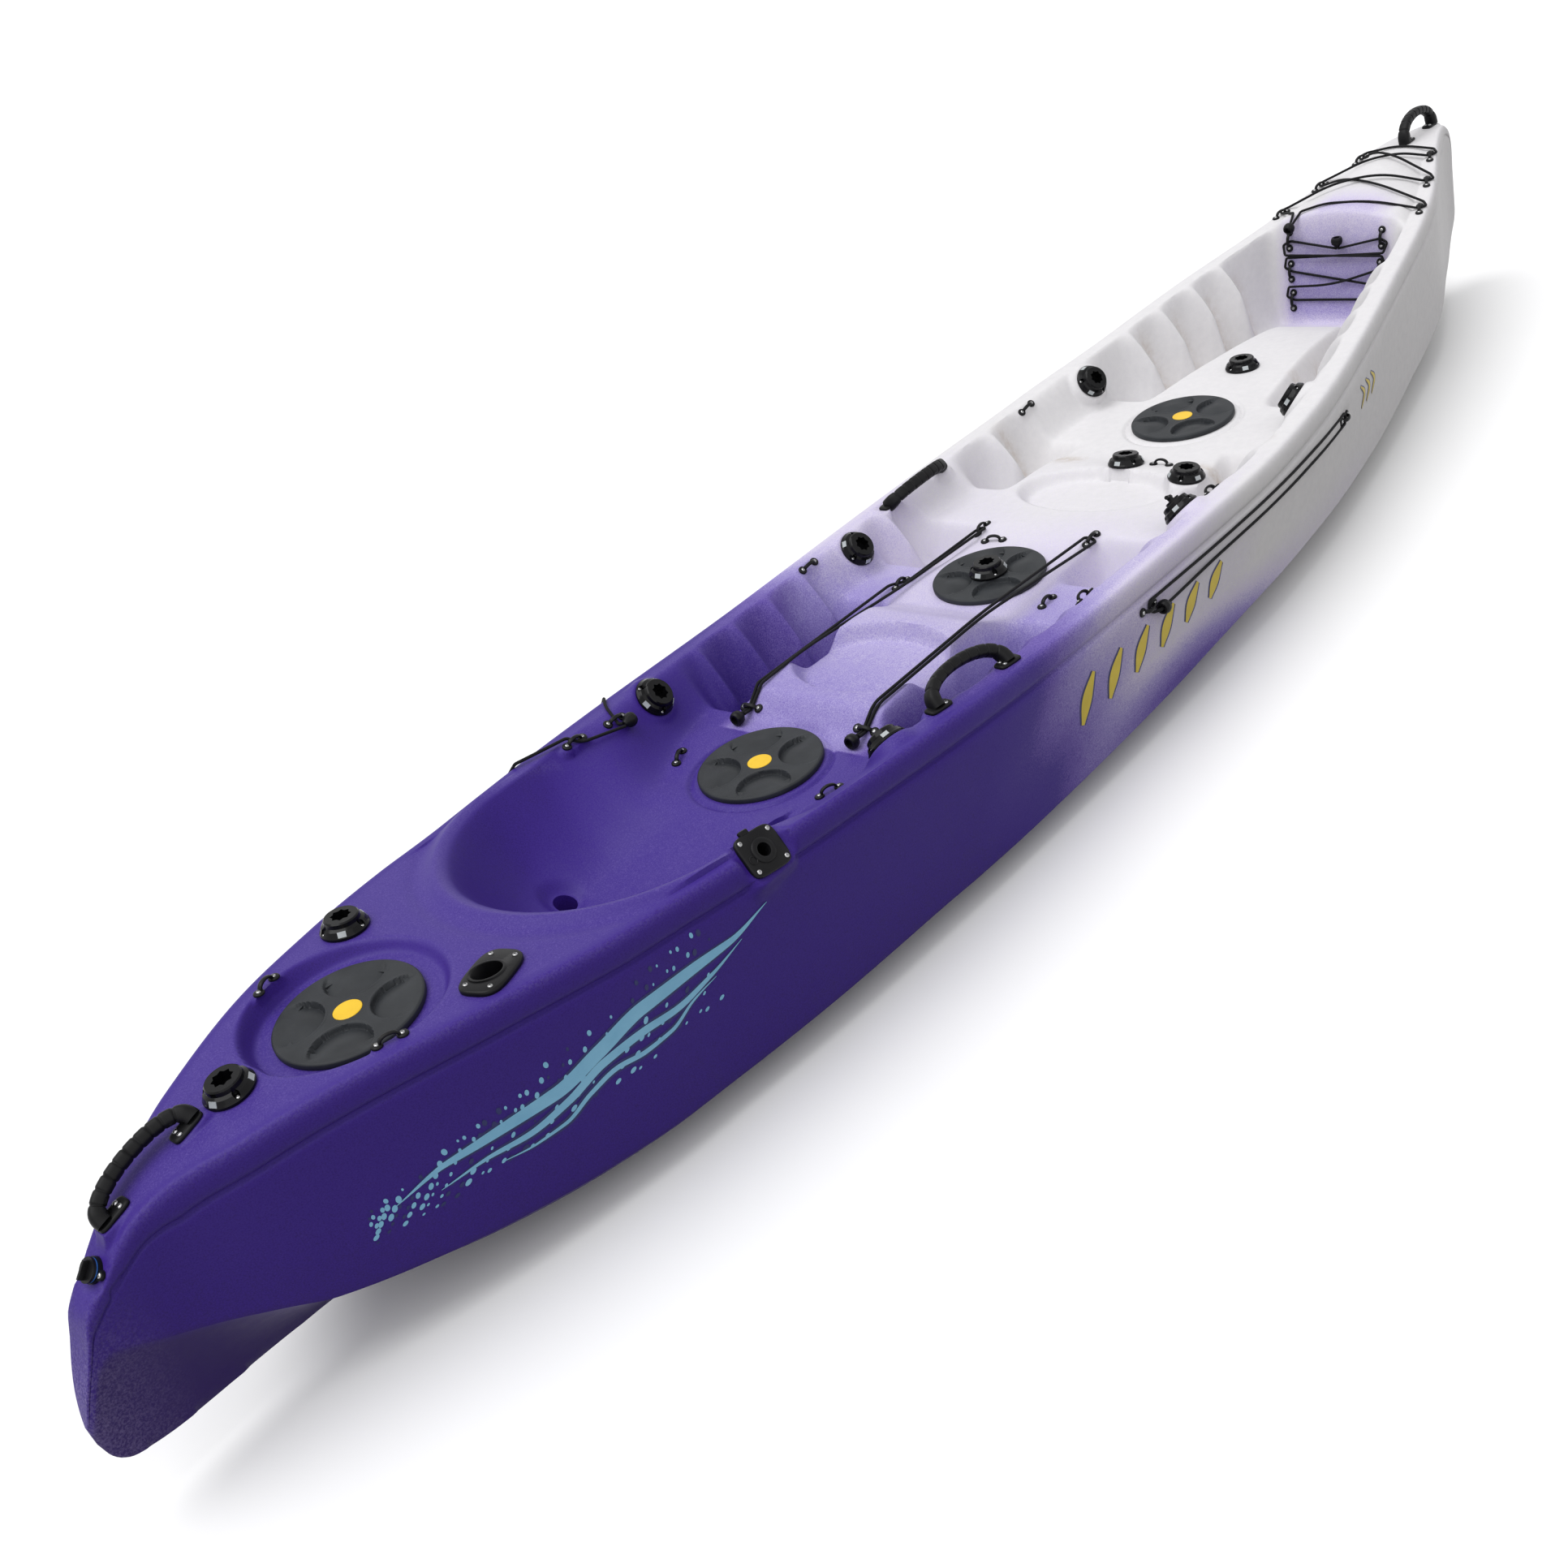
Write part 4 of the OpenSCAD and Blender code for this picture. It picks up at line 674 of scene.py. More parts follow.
def handle_parts(o, r, span, rise, lean):
    """Thick segmented strap in an arch over two feet, leaning to one side."""
    reach = span / 2 + (28 if span < 130 else 16)
    t = np.linspace(0, pi, 221)
    high = (rise + 8) * np.sin(t) ** 0.72
    tip = radians(lean)
    path = np.stack([-reach * np.cos(t), high * sin(tip), 2.0 + high * cos(tip)], 1)
    s = np.concatenate([[0], np.cumsum(np.linalg.norm(np.diff(path, axis=0), axis=1))])
    cuts = np.linspace(0.13, 0.87, 9) * s[-1]
    groove = bell(np.abs(s[:, None] - cuts).min(axis=1) / 1.7)
    stout = 1.0 + 0.14 * smooth(0.14, 0.06, np.minimum(s, s[-1] - s) / s[-1])
    size = stout - 0.13 * groove
    bar = sweep(path, 13.0 * size, 11.0 * size, np.array([0, cos(tip), -sin(tip)]), 24)
    foot = rounded_plate(26, 13, 0.75, [(0.2, 1.0), (1.2, 0.0), (4.2, 0.0), (5.6, 1.2), (6.2, 3.5), (6.3, 12.5)])
    return [(bar, o, r)] + [placed(foot, o, r, end * (span / 2 + 14), 0, 0) for end in (-1, 1)]


def make_handles(material, metal):
    screws = []
    for (x, y, heading, span), (node, rise, lean) in zip(HANDLES, HANDLE_LOOKS):
        o, r = rim_frame(x, y, heading, span / 2)
        gather(node + "_form", handle_parts(o, r, span, rise, lean), material, node)
        screws += [screw(o, r, end * (span / 2 + 1), side * 5.6, 6.3) for end in (-1, 1) for side in (-1, 1)]
    gather("handle_screw_forms", screws, metal, "handle_screws")


def make_rod_holder(material, metal):
    """Flange with rounded ends over the raked tube, and its four screws."""
    o, r = rod_frame()
    a = np.arange(96) * 2 * pi / 96
    turn, rake = radians(ROD_TURN), radians(ROD_RAKE)
    slope, wide = tan(rake), 1 / cos(rake)
    square, end = 3.2, -172

    def bore(k, z):
        return level(k * wide * np.cos(a) - slope * z, k * np.sin(a), z)

    def flange(z, inset):
        c, d = np.abs(np.cos(a - turn)) / (54 - inset), np.abs(np.sin(a - turn)) / (36 - inset)
        k = (c ** square + d ** square) ** (-1 / square)
        return level(k * np.cos(a), k * np.sin(a), z)
    loops = [bore(0.5, end), bore(24, end), bore(24, 0.2)]
    loops += [flange(z, i) for z, i in ((0.2, 0.6), (1.2, 0), (6.0, 0), (7.8, 1.2), (8.6, 3.4))]
    loops += [bore(k, z) for k, z in ((25.5, 8.8), (25.0, 10.6), (23.2, 11.2), (21.4, 10.6), (21, 9),
                                      (21, end + 3), (0.5, end + 3))]
    gather("rod_holder_form", [(loops_solid(loops), o, r)], material, "rod_holder")
    c, d = cos(turn), sin(turn)
    screws = [screw(o, r, c * u - d * v, d * u + c * v, 8.4) for u in (-38, 38) for v in (-20, 20)]
    gather("rod_screw_forms", screws, metal, "rod_holder_screws")


def make_plate(material, metal):
    """Gunwale plate with its round socket, eyelet and latch, lying along the gunwale, and its four screws."""
    o, r = plate_frame()
    along = np.array([1, -0.15, -0.073])
    along = along - r[:, 2] * (along @ r[:, 2])
    along /= np.linalg.norm(along)
    r = np.stack([along, np.cross(r[:, 2], along), r[:, 2]], axis=1)
    c, s = round_square(96)
    u, v = round_square(96, 0.4)
    loops = [level(k * c, k * s, z) for k, z in ((0.5, -40), (14.5, -40), (14.5, 0.2))]
    loops += [level((39 - i) * u, (36 - i) * v, z)
              for z, i in ((0.2, 0.5), (1.2, 0.0), (5.6, 0.0), (7.4, 1.0), (8.2, 3.0))]
    loops += [level(k * c, k * s, z)
              for k, z in ((21.5, 8.4), (20.6, 10.6), (19.4, 11.8), (13.2, 12.0), (11.4, 11.2), (11.0, 9.0),
                           (11.0, -36), (0.5, -36))]
    eyelet = lathe([(4.0, 8.0), (7.6, 8.0), (7.6, 9.4), (6.6, 9.9), (5.6, 9.4), (5.2, 8.3)])
    latch = rounded_plate(9, 5, 0.7, [(0.5, 0.5), (1, 0), (6, 0), (8, 1.5)], 32)
    parts = [(loops_solid(loops), o, r), placed(eyelet, o, r, -25.0, -6, 0), placed(latch, o, r, -10.0, 38, 0)]
    gather("gunwale_plate_form", parts, material, "gunwale_plate")
    screws = [screw(o, r, i * 28.5, j * 25.5, 8.0) for i in (-1, 1) for j in (-1, 1)]
    gather("gunwale_screw_forms", screws, metal, "gunwale_plate_screws")


# Materials
class Look:
    """Short ways to build the node tree of a material or a world."""

    def __init__(self, owner, shader="Principled BSDF"):
        owner.use_nodes = True
        self.owner, self.tree = owner, owner.node_tree
        self.inputs = self.tree.nodes[shader].inputs

    def feed(self, value, socket):
        """Sets a socket to a number or a colour, or links it to another node's output."""
        if isinstance(value, (int, float)):
            socket.default_value = value
        elif isinstance(value, tuple):
            socket.default_value = (*value, 1.0)
        else:
            self.tree.links.new(value, socket)

    def shade(self, **values):
        for key, value in values.items():
            self.feed(value, self.inputs[key.replace("_", " ")])

    def node(self, kind, sockets=(), **settings):
        node = self.tree.nodes.new("ShaderNode" + kind)
        for key, value in settings.items():
            setattr(node, key, value)
        for key, value in sockets:
            self.feed(value, node.inputs[key])
        return node

    def noise(self, scale, detail, rough):
        place = self.node("TexCoord").outputs["Object"]
        sockets = [("Vector", place), ("Scale", scale), ("Detail", detail), ("Roughness", rough)]
        return self.node("TexNoise", sockets).outputs["Fac"]

    def ramp(self, source, stops):
        node = self.node("ValToRGB", [("Fac", source)])
        elements = node.color_ramp.elements
        while len(elements) < len(stops):
            elements.new(0.5)
        for e, (pos, col) in zip(elements, stops):
            e.position = pos
            e.color = (*col, 1.0)
        return node.outputs["Color"]

    def math(self, op, *operands):
        return self.node("Math", enumerate(operands), operation=op).outputs[0]

    def mix(self, fac, a, b, kind="MIX"):
        return self.node("Mix", [(0, fac), (6, a), (7, b)], data_type="RGBA", blend_type=kind).outputs[2]

    def bump(self, height, strength, distance):
        sockets = [("Height", height), ("Strength", strength), ("Distance", distance)]
        self.shade(Normal=self.node("Bump", sockets).outputs["Normal"])

    def seen_directly(self):
        """1 for the rays that show a surface itself, straight, mirrored or through glass, and 0 for its light."""
        path = self.node("LightPath").outputs
        seen = self.math("MAXIMUM", path["Is Camera Ray"], path["Is Glossy Ray"])
        return self.math("MAXIMUM", seen, path["Is Transmission Ray"])


GLOSS_SPREAD = 0.08


def plain_plastic(name, dark, light, rough, grain_scale, grain, shine=0.35):
    """Moulded plastic or rubber with a fine grain, faint mottling and uneven gloss."""
    look = Look(bpy.data.materials.new(name))
    broad = look.noise(22.0, 3.0, 0.55)
    look.shade(Base_Color=look.ramp(broad, [(0.3, dark), (0.7, light)]), Specular_IOR_Level=shine,
               Roughness=look.math("MULTIPLY_ADD", broad, GLOSS_SPREAD * 2, rough - GLOSS_SPREAD))
    look.bump(look.noise(grain_scale, 3.0, 0.6), grain, 0.0004)
    return look.owner


# The hull's colours by their share of white pigment, the darkest one a purple for painted shade, and that share by
# station, in metres
PAINTED_SHADE_PURPLE, DEEP, PURPLE = (0.024, 0.008, 0.090), (0.044, 0.017, 0.232), (0.061, 0.034, 0.250)
VIOLET, LILAC, PALE = (0.150, 0.10, 0.39), (0.335, 0.285, 0.590), (0.67, 0.62, 0.78)
WHITE = (0.775, 0.766, 0.762)
PIGMENT = [(0.0, PAINTED_SHADE_PURPLE), (0.06, DEEP), (0.13, PURPLE), (0.25, VIOLET), (0.48, LILAC), (0.74, PALE), (1.0, WHITE)]
CREST_TONE = ([-0.76, -0.64, -0.45, -0.28, -0.1, 0.1, 0.28, 0.55], [0.13, 0.42, 0.53, 0.63, 0.70, 0.82, 0.96, 1.0])
WELL_TONE = ([-0.85, -0.60, -0.38, -0.1, 0.15, 0.45], [0.13, 0.15, 0.25, 0.58, 0.88, 1.0])
SIDE_TONE = ([-0.65, -0.46, -0.26, -0.10, 0.06, 0.24], [0.06, 0.13, 0.44, 0.70, 0.88, 1.0])
# Frost and rubbed edges are wear; the brown one is painted shade for the pockets just forward of the front ribs.
FROST, RUBBED, RIB_SHADE_BROWN = (0.34, 0.28, 0.55), (0.36, 0.31, 0.55), (0.42, 0.31, 0.20)
NONE, SOME, FULL = (0, 0, 0), (0.2, 0.2, 0.2), (1, 1, 1)


def hull_tone(p, normal):
    """Share of white pigment at each skin point, from 0, purple, to 1, white, lowered for painted shade on steep
    aft walls, low on the side and at the stern's chine.
    """
    x, y, z = p.T
    side, along = np.abs(y), x * TO_MM
    wave = (0.05 * np.sin(7.0 * x + 9 * y) + 0.04 * np.sin(13.1 * x - 5 * z * 6 + 1.3)
            + 0.03 * np.sin(23.0 * y + 4 * x))
    outer = unit((side - (drawn_breadth(along) * MM - 0.03)) / 0.02)
    spine = smooth(12, -30, side * TO_MM - spine_width(along)) * (x > -0.70)
    wells = np.interp(x + wave, *WELL_TONE)
    deck_tone = wells + (np.interp(x + 0.6 * wave, *CREST_TONE) - wells) * spine
    # Painted shade: steep walls aft of the middle, such as the bowl's, are made a deeper purple.
    steep = unit((0.96 - normal[:, 2]) / 0.35)
    deck_tone = deck_tone - 0.075 * steep * unit((-0.55 - x) / 0.2)
    # Painted shade: aft of the middle the side darkens towards the chine, and below the chine, where the hull
    # overhangs, the tone drops to the darkest purple.
    above = z * TO_MM - fair(DRAWN_CHINE, along)
    under, aft = smooth(12, -25, above), unit((-0.2 - x) / 0.3)
    side_tone = np.interp(x + wave, *SIDE_TONE) - (0.012 * smooth(150, 10, above) + 0.045 * under) * aft
    tone = deck_tone * (1 - outer) + side_tone * outer
    under = under * aft
    tone = tone * (1 - under) + 0.012 * under
    # Painted shade: the side grows darker towards the bottom, most amidships.
    low = unit((0.16 - z) / 0.08)
    patch = bell((x - 0.05) / 0.35) + 0.12 * bell((x - 0.75) / 0.2)
    tone = tone * (1 - 0.75 * low * unit(patch))
    fan = bell((x - 1.49) / 0.05) * unit((0.16 - side) / 0.05) * unit((z - 0.10) / 0.1)
    fan = np.maximum(fan, 0.7 * bell((x - 1.56) / 0.07) * unit((0.12 - np.abs(y + 0.02)) / 0.06))
    return unit(tone - 0.48 * fan * (x > 1.38))


def hull_wear_and_shade(p):
    """Frosted stern, painted shade in the pockets beside the front ribs and rubbed edges at each skin point, from
    0 to 1.
    """
    x, y, z = p.T
    side, along = np.abs(y), x * TO_MM
    frost = unit((-2.09 - x) / 0.13) * unit((0.38 - z) / 0.14)
    within = unit((half_breadth(along) * MM - 0.03 - side) / 0.02) * (z > 0.14)
    # Painted shade in the pocket just forward of each front rib, on the inner walls.
    rib_pocket_shade = np.zeros(len(p))
    for r in RIBS[5:]:
        rib_pocket_shade = np.maximum(rib_pocket_shade, bell((x - r * MM - 0.045) / 0.022)
                           * unit((side - 0.11) / 0.03) * unit((0.36 - z) / 0.08))
    worn = (bell((drawn_breadth(along) - side * TO_MM - 7) / 8)
            * bell((fair(DRAWN_SHEER, along) - z * TO_MM - 4) / 10))
    lip = -bowl_edge(along, side * TO_MM) * BOWL_LENGTH
    worn = np.maximum(worn, bell((lip - 8) / 9) * (x < -1.0) * (z > 0.30))
    return {"frost": frost, "rib_pocket_shade": rib_pocket_shade * within, "worn": worn}


def hull_material(hull):
    """Speckled plastic from purple to white, darkened for painted shade, with a frosted stern, rubbed edges and a
    painted brown shade in the pockets beside the front ribs.
    """
    mesh = hull.data
    p, normal = np.empty((2, len(mesh.vertices) * 3))
    mesh.vertices.foreach_get("co", p)
    mesh.vertices.foreach_get("normal", normal)
    p, normal = p.reshape(-1, 3), normal.reshape(-1, 3)
    for name, values in {"tone": hull_tone(p, normal), **hull_wear_and_shade(p)}.items():
        layer = mesh.attributes.new(name, "FLOAT", "POINT")
        layer.data.foreach_set("value", values.astype(np.float32))
    look = Look(bpy.data.materials.new("hull_plastic"))

    def attribute(name):
        return look.node("Attribute", attribute_name=name).outputs["Fac"]

    def times(a, b):
        return look.math("MULTIPLY", a, b)

    def over(below, name, pattern, stops, strength, cover):
        mask = times(attribute(name), look.ramp(pattern, stops))
        return look.mix(times(mask, strength), below, cover)
    grain, mid, scuffs = look.noise(420.0, 2.0, 0.65), look.noise(60.0, 4.0, 0.6), look.noise(260.0, 5.0, 0.75)
    drift = times(look.math("SUBTRACT", mid, 0.5), 0.16)
    shift = look.math("MULTIPLY_ADD", look.math("SUBTRACT", grain, 0.5), 0.52, drift)
    base = attribute("tone")
    blend = times(base, look.math("SUBTRACT", 1.12, base))
    spread = look.math("MINIMUM", times(blend, 3.6), 1.0)
    colour = look.ramp(look.math("MULTIPLY_ADD", shift, spread, base), PIGMENT)
    colour = look.mix(times(mid, 0.16), colour, DEEP, "MULTIPLY")
    colour = over(colour, "frost", scuffs, [(0.42, NONE), (0.66, FULL)], 0.42, FROST)
    colour = over(colour, "worn", scuffs, [(0.40, NONE), (0.70, FULL)], 0.11, RUBBED)
    # Painted shade: a warm brown in the pockets just forward of the front ribs.
    colour = over(colour, "rib_pocket_shade", mid, [(0.35, SOME), (0.7, FULL)], 0.5, RIB_SHADE_BROWN)
    look.shade(Base_Color=colour, Specular_IOR_Level=0.18, Roughness=look.math("MULTIPLY_ADD", mid, 0.16, 0.40))
    look.bump(look.noise(240.0, 3.0, 0.55), 0.16, 0.0006)
    mesh.materials.clear()
    mesh.materials.append(look.owner)


def steel():
    look = Look(bpy.data.materials.new("screw_steel"))
    fine = look.noise(1500.0, 2.0, 0.5)
    look.shade(Base_Color=look.ramp(fine, [(0.3, (0.26, 0.26, 0.27)), (0.7, (0.46, 0.46, 0.46))]),
               Roughness=look.math("MULTIPLY_ADD", fine, 0.2, 0.15), Metallic=1.0)
    return look.owner


def braid():
    """Black fabric sheath with a fine uneven nap."""
    look = Look(bpy.data.materials.new("cord_fabric"))
    fine, wide = look.noise(2600.0, 2.0, 0.7), look.noise(90.0, 2.0, 0.5)
    look.shade(Base_Color=look.ramp(fine, [(0.35, (0.004, 0.004, 0.0045)), (0.7, (0.016, 0.016, 0.018))]),
               Roughness=look.math("MULTIPLY_ADD", wide, 0.15, 0.6), Specular_IOR_Level=0.12, Sheen_Weight=0.03)
    look.bump(fine, 0.5, 0.0005)
    return look.owner


# Plastics and rubbers: dark and light tint, roughness, scale and strength of the grain, shine
PLAIN = {
    "lid_plastic": ((0.018, 0.020, 0.023), (0.030, 0.033, 0.037), 0.50, 900.0, 0.35, 0.22),
    "ring_plastic": ((0.006, 0.006, 0.007), (0.012, 0.012, 0.013), 0.5, 700.0, 0.2, 0.15),
    "seal_rubber": ((0.005, 0.005, 0.006), (0.010, 0.010, 0.011), 0.6, 900.0, 0.2, 0.15),
    "disc_plastic": ((0.78, 0.48, 0.012), (0.88, 0.57, 0.025), 0.38, 500.0, 0.08),
    "socket_plastic": ((0.0025, 0.0025, 0.003), (0.005, 0.005, 0.006), 0.16, 600.0, 0.04, 0.16),
    "reflector_plastic": ((0.34, 0.37, 0.38), (0.48, 0.51, 0.52), 0.25, 1200.0, 0.3),
    "fitting_plastic": ((0.004, 0.004, 0.005), (0.009, 0.009, 0.010), 0.36, 800.0, 0.15, 0.16),
    "handle_rubber": ((0.003, 0.003, 0.0035), (0.008, 0.008, 0.009), 0.45, 700.0, 0.25, 0.16),
    "holder_plastic": ((0.010, 0.011, 0.012), (0.020, 0.021, 0.022), 0.42, 700.0, 0.25, 0.22),
    "drain_rubber": ((0.02, 0.10, 0.42), (0.03, 0.15, 0.52), 0.5, 700.0, 0.15),
}


def dress_nodes():
    """Gives each CAD node the look of its material slot."""
    looks = {name: plain_plastic(name, *look) for name, look in PLAIN.items()}
    looks.update(screw_steel=steel(), cord_fabric=braid())
    for part in frame["record"]["subparts"]:
        node, slot = part["node"], part["material_slot"]
        if slot in looks:
            mesh = frame["nodes"][node].data
            mesh.materials.clear()
            mesh.materials.append(looks[slot])
    return looks


# Cords: the routes of the part's source, in millimetres
ROUTES = {
    "port_deck_cord": [
        [-667, 143.5, 300.5], [-648.5, 143.5, 298], [-637.5, 144, 305], [-604, 147, 328], [-150, 189, 282],
        [-132, 182, 278], [-118, 163, 279], [103.5, 145, 281], [108.5, 133, 285], [103, 121, 288],
        [-128, 153, 283], [-470, 147, 322], [-604, 137, 329], [-637.5, 137, 305.5], [-648.5, 137, 298.5],
        [-667, 136.5, 300.5]],
    "starboard_deck_cord": [
        [-667, -128.5, 300.5], [-648.5, -128.5, 298.5], [-637.5, -128.5, 305.5], [-604, -128, 329],
        [-270, -128, 323], [103, -121, 288], [108.5, -133, 285], [103.5, -145, 281], [-270, -138, 323],
        [-604, -138, 329], [-637.5, -135.5, 305.5], [-648.5, -135.5, 298.5], [-667, -135.5, 300.5]],
    "port_keeper_cord": [
        [-852, 250, 374], [-858, 253, 376], [-851.5, 265.5, 379.5], [-838, 300, 393], [-815, 327, 392],
        [-805, 349, 372], [-830, 346.5, 352], [-930, 338, 360], [-1040, 326, 367], [-1066, 322.5, 388],
        [-1060, 302, 410], [-956, 279.5, 402.5], [-948.5, 268.5, 394.5], [-937, 256.5, 388.5], [-852, 243, 370]],
    "starboard_keeper_cord": [
        [-53, -392, 259], [140, -386.5, 252], [330, -388, 247], [470, -383, 243], [640, -369.5, 238],
        [776, -351.5, 233.5], [781, -351.5, 246], [776, -353, 258.5], [640, -371.5, 263], [470, -385, 268],
        [330, -390, 272], [140, -388.5, 277], [-96, -381.5, 284.5], [-101, -380.5, 272], [-94, -382.5, 259],
        [-80, -392, 259], [-74, -392, 259]],
    "bow_cord": [
        [1508, 104, 417], [1545, 98, 435], [1560, 40, 448], [1575, -70, 445], [1599.5, -177, 413],
        [1614.5, -191, 414], [1635, -176, 417], [1652, -58, 460], [1694, 46, 465], [1741.5, 137, 432],
        [1756.5, 151.5, 433], [1776.5, 136, 437], [1800, 36, 475], [1838, -34, 475], [1879, -89, 451],
        [1894.5, -103.5, 453], [1914.5, -88, 457], [1914, 0, 471], [1914.5, 88, 457], [1894.5, 103.5, 453],
        [1879, 89, 451], [1838, 34, 482], [1800, -36, 482], [1776.5, -136, 437], [1756.5, -151.5, 433],
        [1741.5, -137, 432], [1694, -46, 472], [1652, 58, 467], [1635, 176, 417], [1614.5, 191, 414],
        [1599.5, 177, 413], [1545, 118, 432], [1508, 110, 418]],
    "bulkhead_cord": [
        [1495, -15.5, 356.5], [1512, -117, 372.5], [1508.5, -135.5, 363.5], [1497.5, -128, 341],
        [1497, 124.5, 334.5], [1497, 131.5, 309.5], [1497, 112.5, 299.5], [1484, -119.5, 264.5],
        [1483.5, -126.5, 239.5], [1483, -109, 230.5], [1480.5, 0, 232], [1483, 109, 230.5],
        [1483.5, 126.5, 239.5], [1484, 119.5, 264.5], [1477, 0, 271], [1497, -112.5, 299.5],
        [1497, -131.5, 309.5], [1497, -124.5, 334.5], [1486, 0, 342], [1497.5, 128, 341],
        [1508.5, 135.5, 363.5], [1512, 117, 372.5], [1495, -12.5, 356.5]],
}
CORD_DIAMETER = 0.006


def rounded(route, cut=5.0):
    """Polyline with each turn eased by a short arc that stays near the corner."""
    p = np.array(route, float)
    out = [p[0]]
    for i in range(1, len(p) - 1):
        a, b = p[i] - p[i - 1], p[i + 1] - p[i]
        la, lb = np.linalg.norm(a), np.linalg.norm(b)
        gentle = float(a @ b) / (la * lb) > 0.80
        d = min(60.0 if gentle else cut, 0.45 * la, 0.45 * lb)
        start, end = p[i] - a / la * d, p[i] + b / lb * d
        for t in np.linspace(0, 1, 9 if gentle else 5):
            out.append((1 - t) ** 2 * start + 2 * t * (1 - t) * p[i] + t * t * end)
    out.append(p[-1])
    return np.array(out)


def make_cords(material):
    for name, route in ROUTES.items():
        path = rounded(route) * MM
        curve = bpy.data.curves.new(name + "_line", "CURVE")
        curve.dimensions = "3D"
        curve.bevel_depth = CORD_DIAMETER / 2
        curve.bevel_resolution = 4
        curve.use_fill_caps = True
        spline = curve.splines.new("POLY")
        spline.points.add(len(path) - 1)
        for point, co in zip(spline.points, path):
            point.co = (*co, 1.0)
        curve.materials.append(material)
        obj = bpy.data.objects.new(name + "_line", curve)
        bpy.context.scene.collection.objects.link(obj)
        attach(obj, "boat")
        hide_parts(name)


def add_stage():
    wide, height = 400, -0.002
    corners = [(-wide, -wide), (wide, -wide), (wide, wide), (-wide, wide)]
    floor = new_object("floor", [(x, y, height) for x, y in corners], [(0, 1, 2, 3)], None)
    look = Look(bpy.data.materials.new("floor_paint"))
    pale = look.ramp(look.noise(1.5, 2.0, 0.5), [(0.3, (0.95, 0.95, 0.952)), (0.7, (0.97, 0.97, 0.972))])
    look.shade(Base_Color=look.mix(look.seen_directly(), (0.16, 0.155, 0.146), pale),
               Roughness=0.9, Specular_IOR_Level=0.1)
    floor.data.materials.append(look.owner)


def add_light():
    scene = bpy.context.scene
    scene.world = bpy.data.worlds.new("studio")
    look = Look(scene.world, "Background")
    split = look.node("SeparateXYZ", [(0, look.node("TexCoord").outputs["Generated"])])
    sky = look.ramp(split.outputs["Z"], [(0.0, (0.20, 0.197, 0.193)), (0.25, (0.36, 0.36, 0.36)),
                                         (0.8, (0.66, 0.66, 0.67))])
    look.shade(Color=look.mix(look.seen_directly(), sky, (0.96, 0.96, 0.96)), Strength=1.0)
    for name, aim, power, angle in (("key", (-0.30, 0.22, 1.0), 1.70, 50),
                                    ("fill", (-0.6, -0.9, 0.9), 0.62, 70)):
        data = bpy.data.lights.new(name, "SUN")
        data.energy = power
        data.angle = radians(angle)
        lamp = bpy.data.objects.new(name, data)
        scene.collection.objects.link(lamp)
        lamp.rotation_mode = "QUATERNION"
        lamp.rotation_quaternion = Vector(aim).to_track_quat("Z", "Y")
    scene.view_settings.view_transform = "Standard"


def flat_ink(name, dark, light):
    return plain_plastic(name, dark, light, 0.42, 900.0, 0.1)


def spray(name, drops, material, lift):
    """Small round flecks on the starboard side, as one mark: (station, height, length, slant)."""
    sides = 10
    c, s = round_square(sides)
    verts, faces = [], []
    for x, z, size, slant in drops:
        u, v = 0.5 * size * c, 0.32 * size * s
        px = x + u * cos(slant) - v * sin(slant)
        pz = z + u * sin(slant) + v * cos(slant)
        faces.append(tuple(range(len(verts), len(verts) + sides)))
        verts.extend(np.stack([px, -side_skin(px, pz) - lift, pz], axis=1))
    mark = new_object(name, np.array(verts) * MM, faces)
    mark.data.materials.append(material)


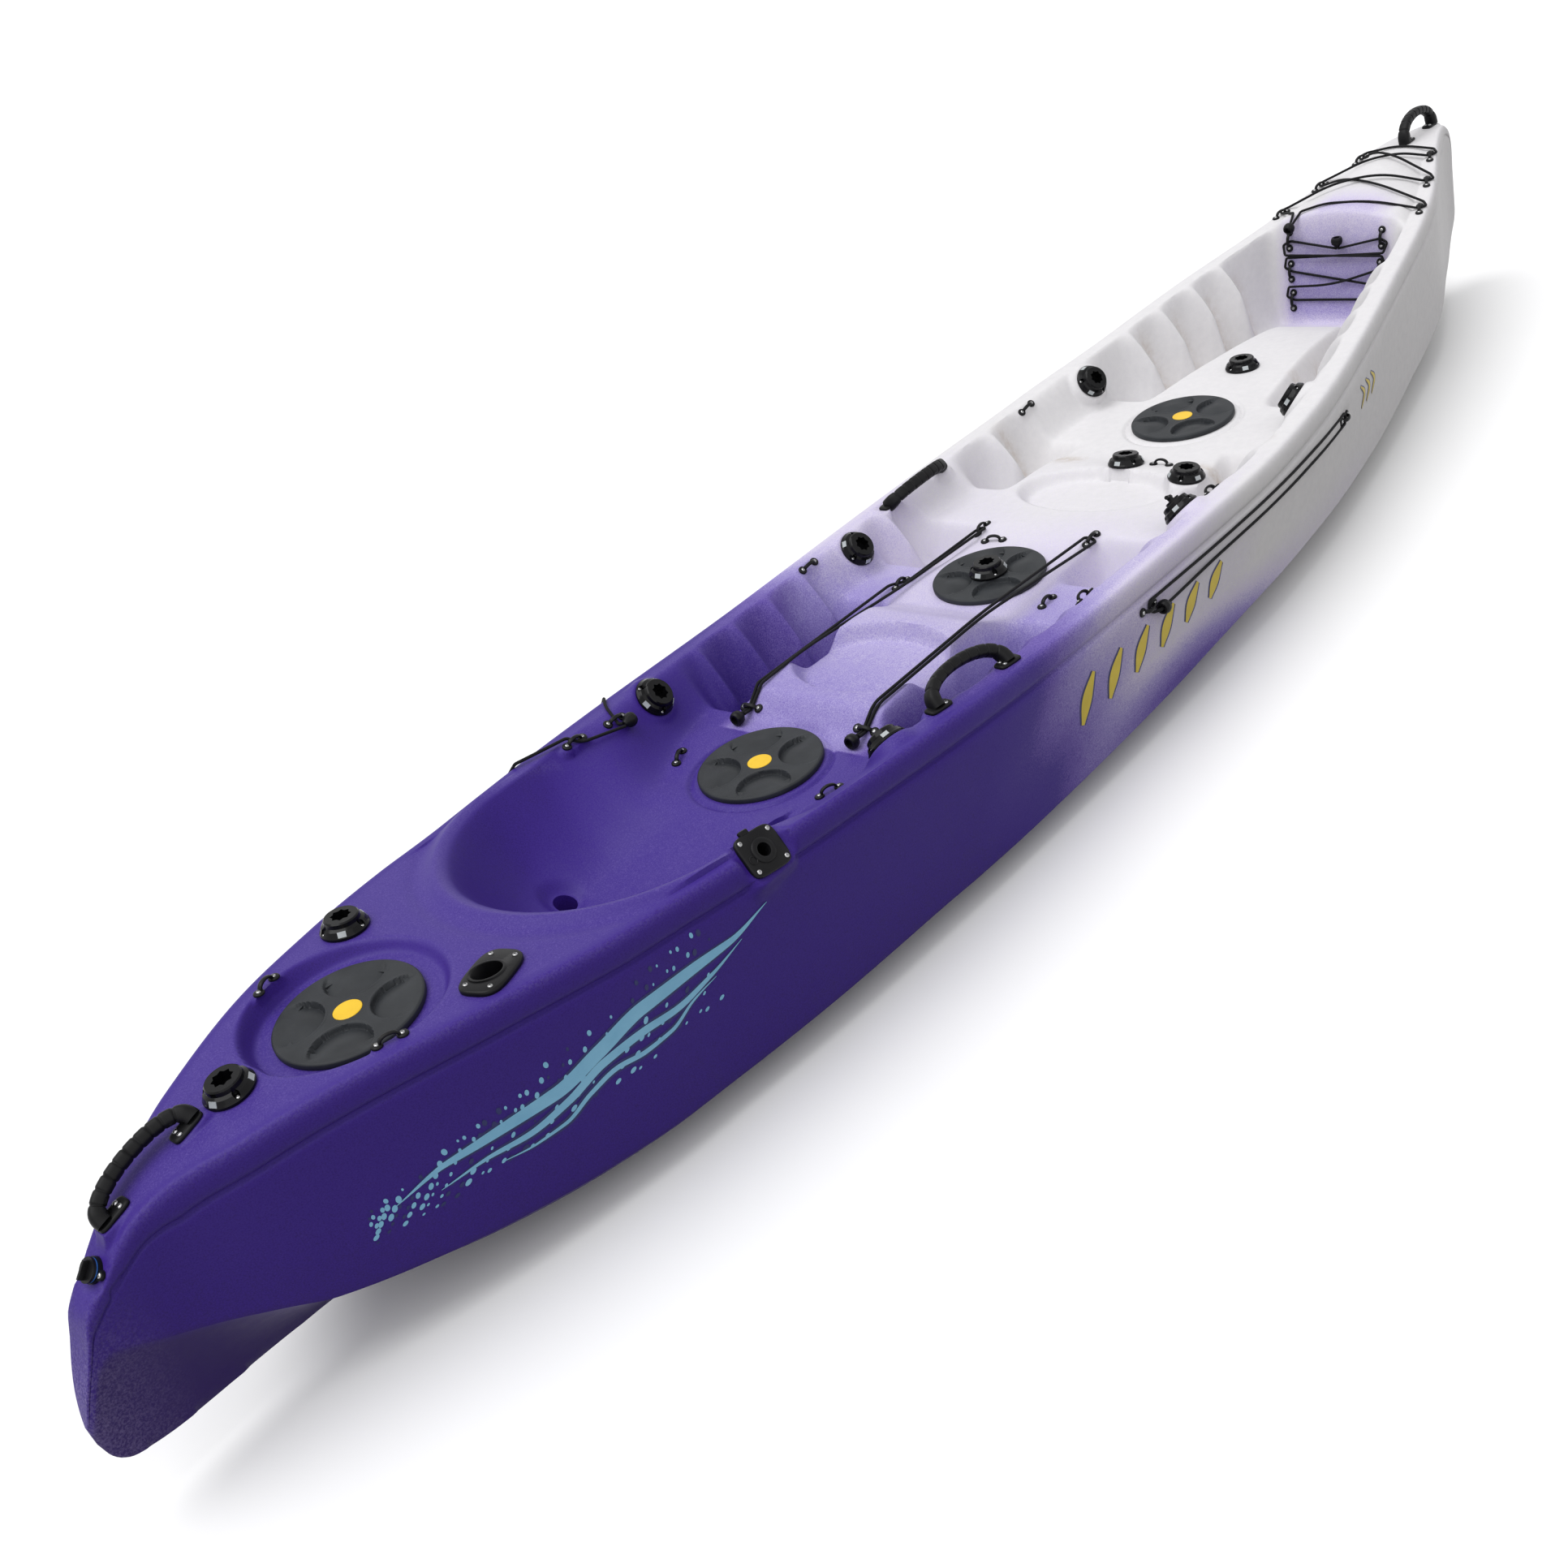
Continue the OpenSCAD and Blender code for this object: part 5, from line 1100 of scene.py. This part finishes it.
def make_marks():
    """Generic marks on the starboard side: waves and flecks aft, slanted bars amidships, chevrons forward."""
    sky = flat_ink("pale_blue_ink", (0.22, 0.52, 0.76), (0.28, 0.60, 0.84))
    navy = flat_ink("navy_ink", (0.008, 0.012, 0.09), (0.014, 0.02, 0.13))
    gold = flat_ink("yellow_ink", (0.62, 0.47, 0.03), (0.74, 0.57, 0.06))

    def edged(kind, k, line, edge, inner, ink, steps):
        stroke(f"{kind}_edge_{k + 1}", line, edge, navy, 0.5, steps)
        stroke(f"{kind}_{k + 1}", line, inner, ink, 0.9, steps)
    for k, (x0, x1, z0, z1, wide) in enumerate([(-1790, -1120, 236, 318, 26), (-1730, -1180, 212, 280, 15),
                                                (-1640, -1240, 196, 250, 9)]):
        xs = np.linspace(x0, x1, 9)
        zs = np.linspace(z0, z1, 9) + 10 * np.sin(np.arange(9) * pi / 2 + k)
        edged("wave", k, list(zip(xs, zs)), [2, 0.7 * wide + 9, wide + 9, 0.8 * wide + 8, 2],
              [1, 0.7 * wide, wide, 0.8 * wide, 1], sky, 90)
    i = np.arange(170)
    u, v, w = (i * 0.618034) % 1, (i * 0.754878) % 1, (i * 0.569840) % 1
    x = -1830 + 600 * u ** 1.25
    z = 226 + 0.12 * (x + 1790) + (v - 0.5) * (50 + 110 * u)
    drops = list(zip(x, z, 5 + 8 * w, 0.4 + 1.4 * v))
    spray("spray_dark", drops[::3], navy, 0.7)
    spray("spray_pale", drops[1::3] + drops[2::3], sky, 0.7)
    for k, x in enumerate((-330, -240, -150, -60, 30, 120)):
        tall = 84 - 6 * k
        line = [(x - 12, 205 - tall / 2), (x + 10, 205), (x + 40, 205 + tall / 2)]
        edged("bar", k, line, [18, 40, 18], [9, 30, 9], gold, 30)
    for k, x in enumerate((905, 945, 985)):
        edged("chevron", k, [(x, 210), (x + 26, 236), (x, 262)], [8, 17, 8], [3, 11, 3], gold, 30)


hull = make_hull()
hull_material(hull)
looks = dress_nodes()
make_cords(looks["cord_fabric"])
for i, (hx, seat, _) in enumerate(HATCHES):
    make_lid(i, hx, seat).data.materials.append(looks["lid_plastic"])
make_padeyes(looks["fitting_plastic"])
make_handles(looks["handle_rubber"], looks["screw_steel"])
make_plate(looks["fitting_plastic"], looks["screw_steel"])
make_rod_holder(looks["fitting_plastic"], looks["screw_steel"])
make_marks()
add_stage()
add_light()
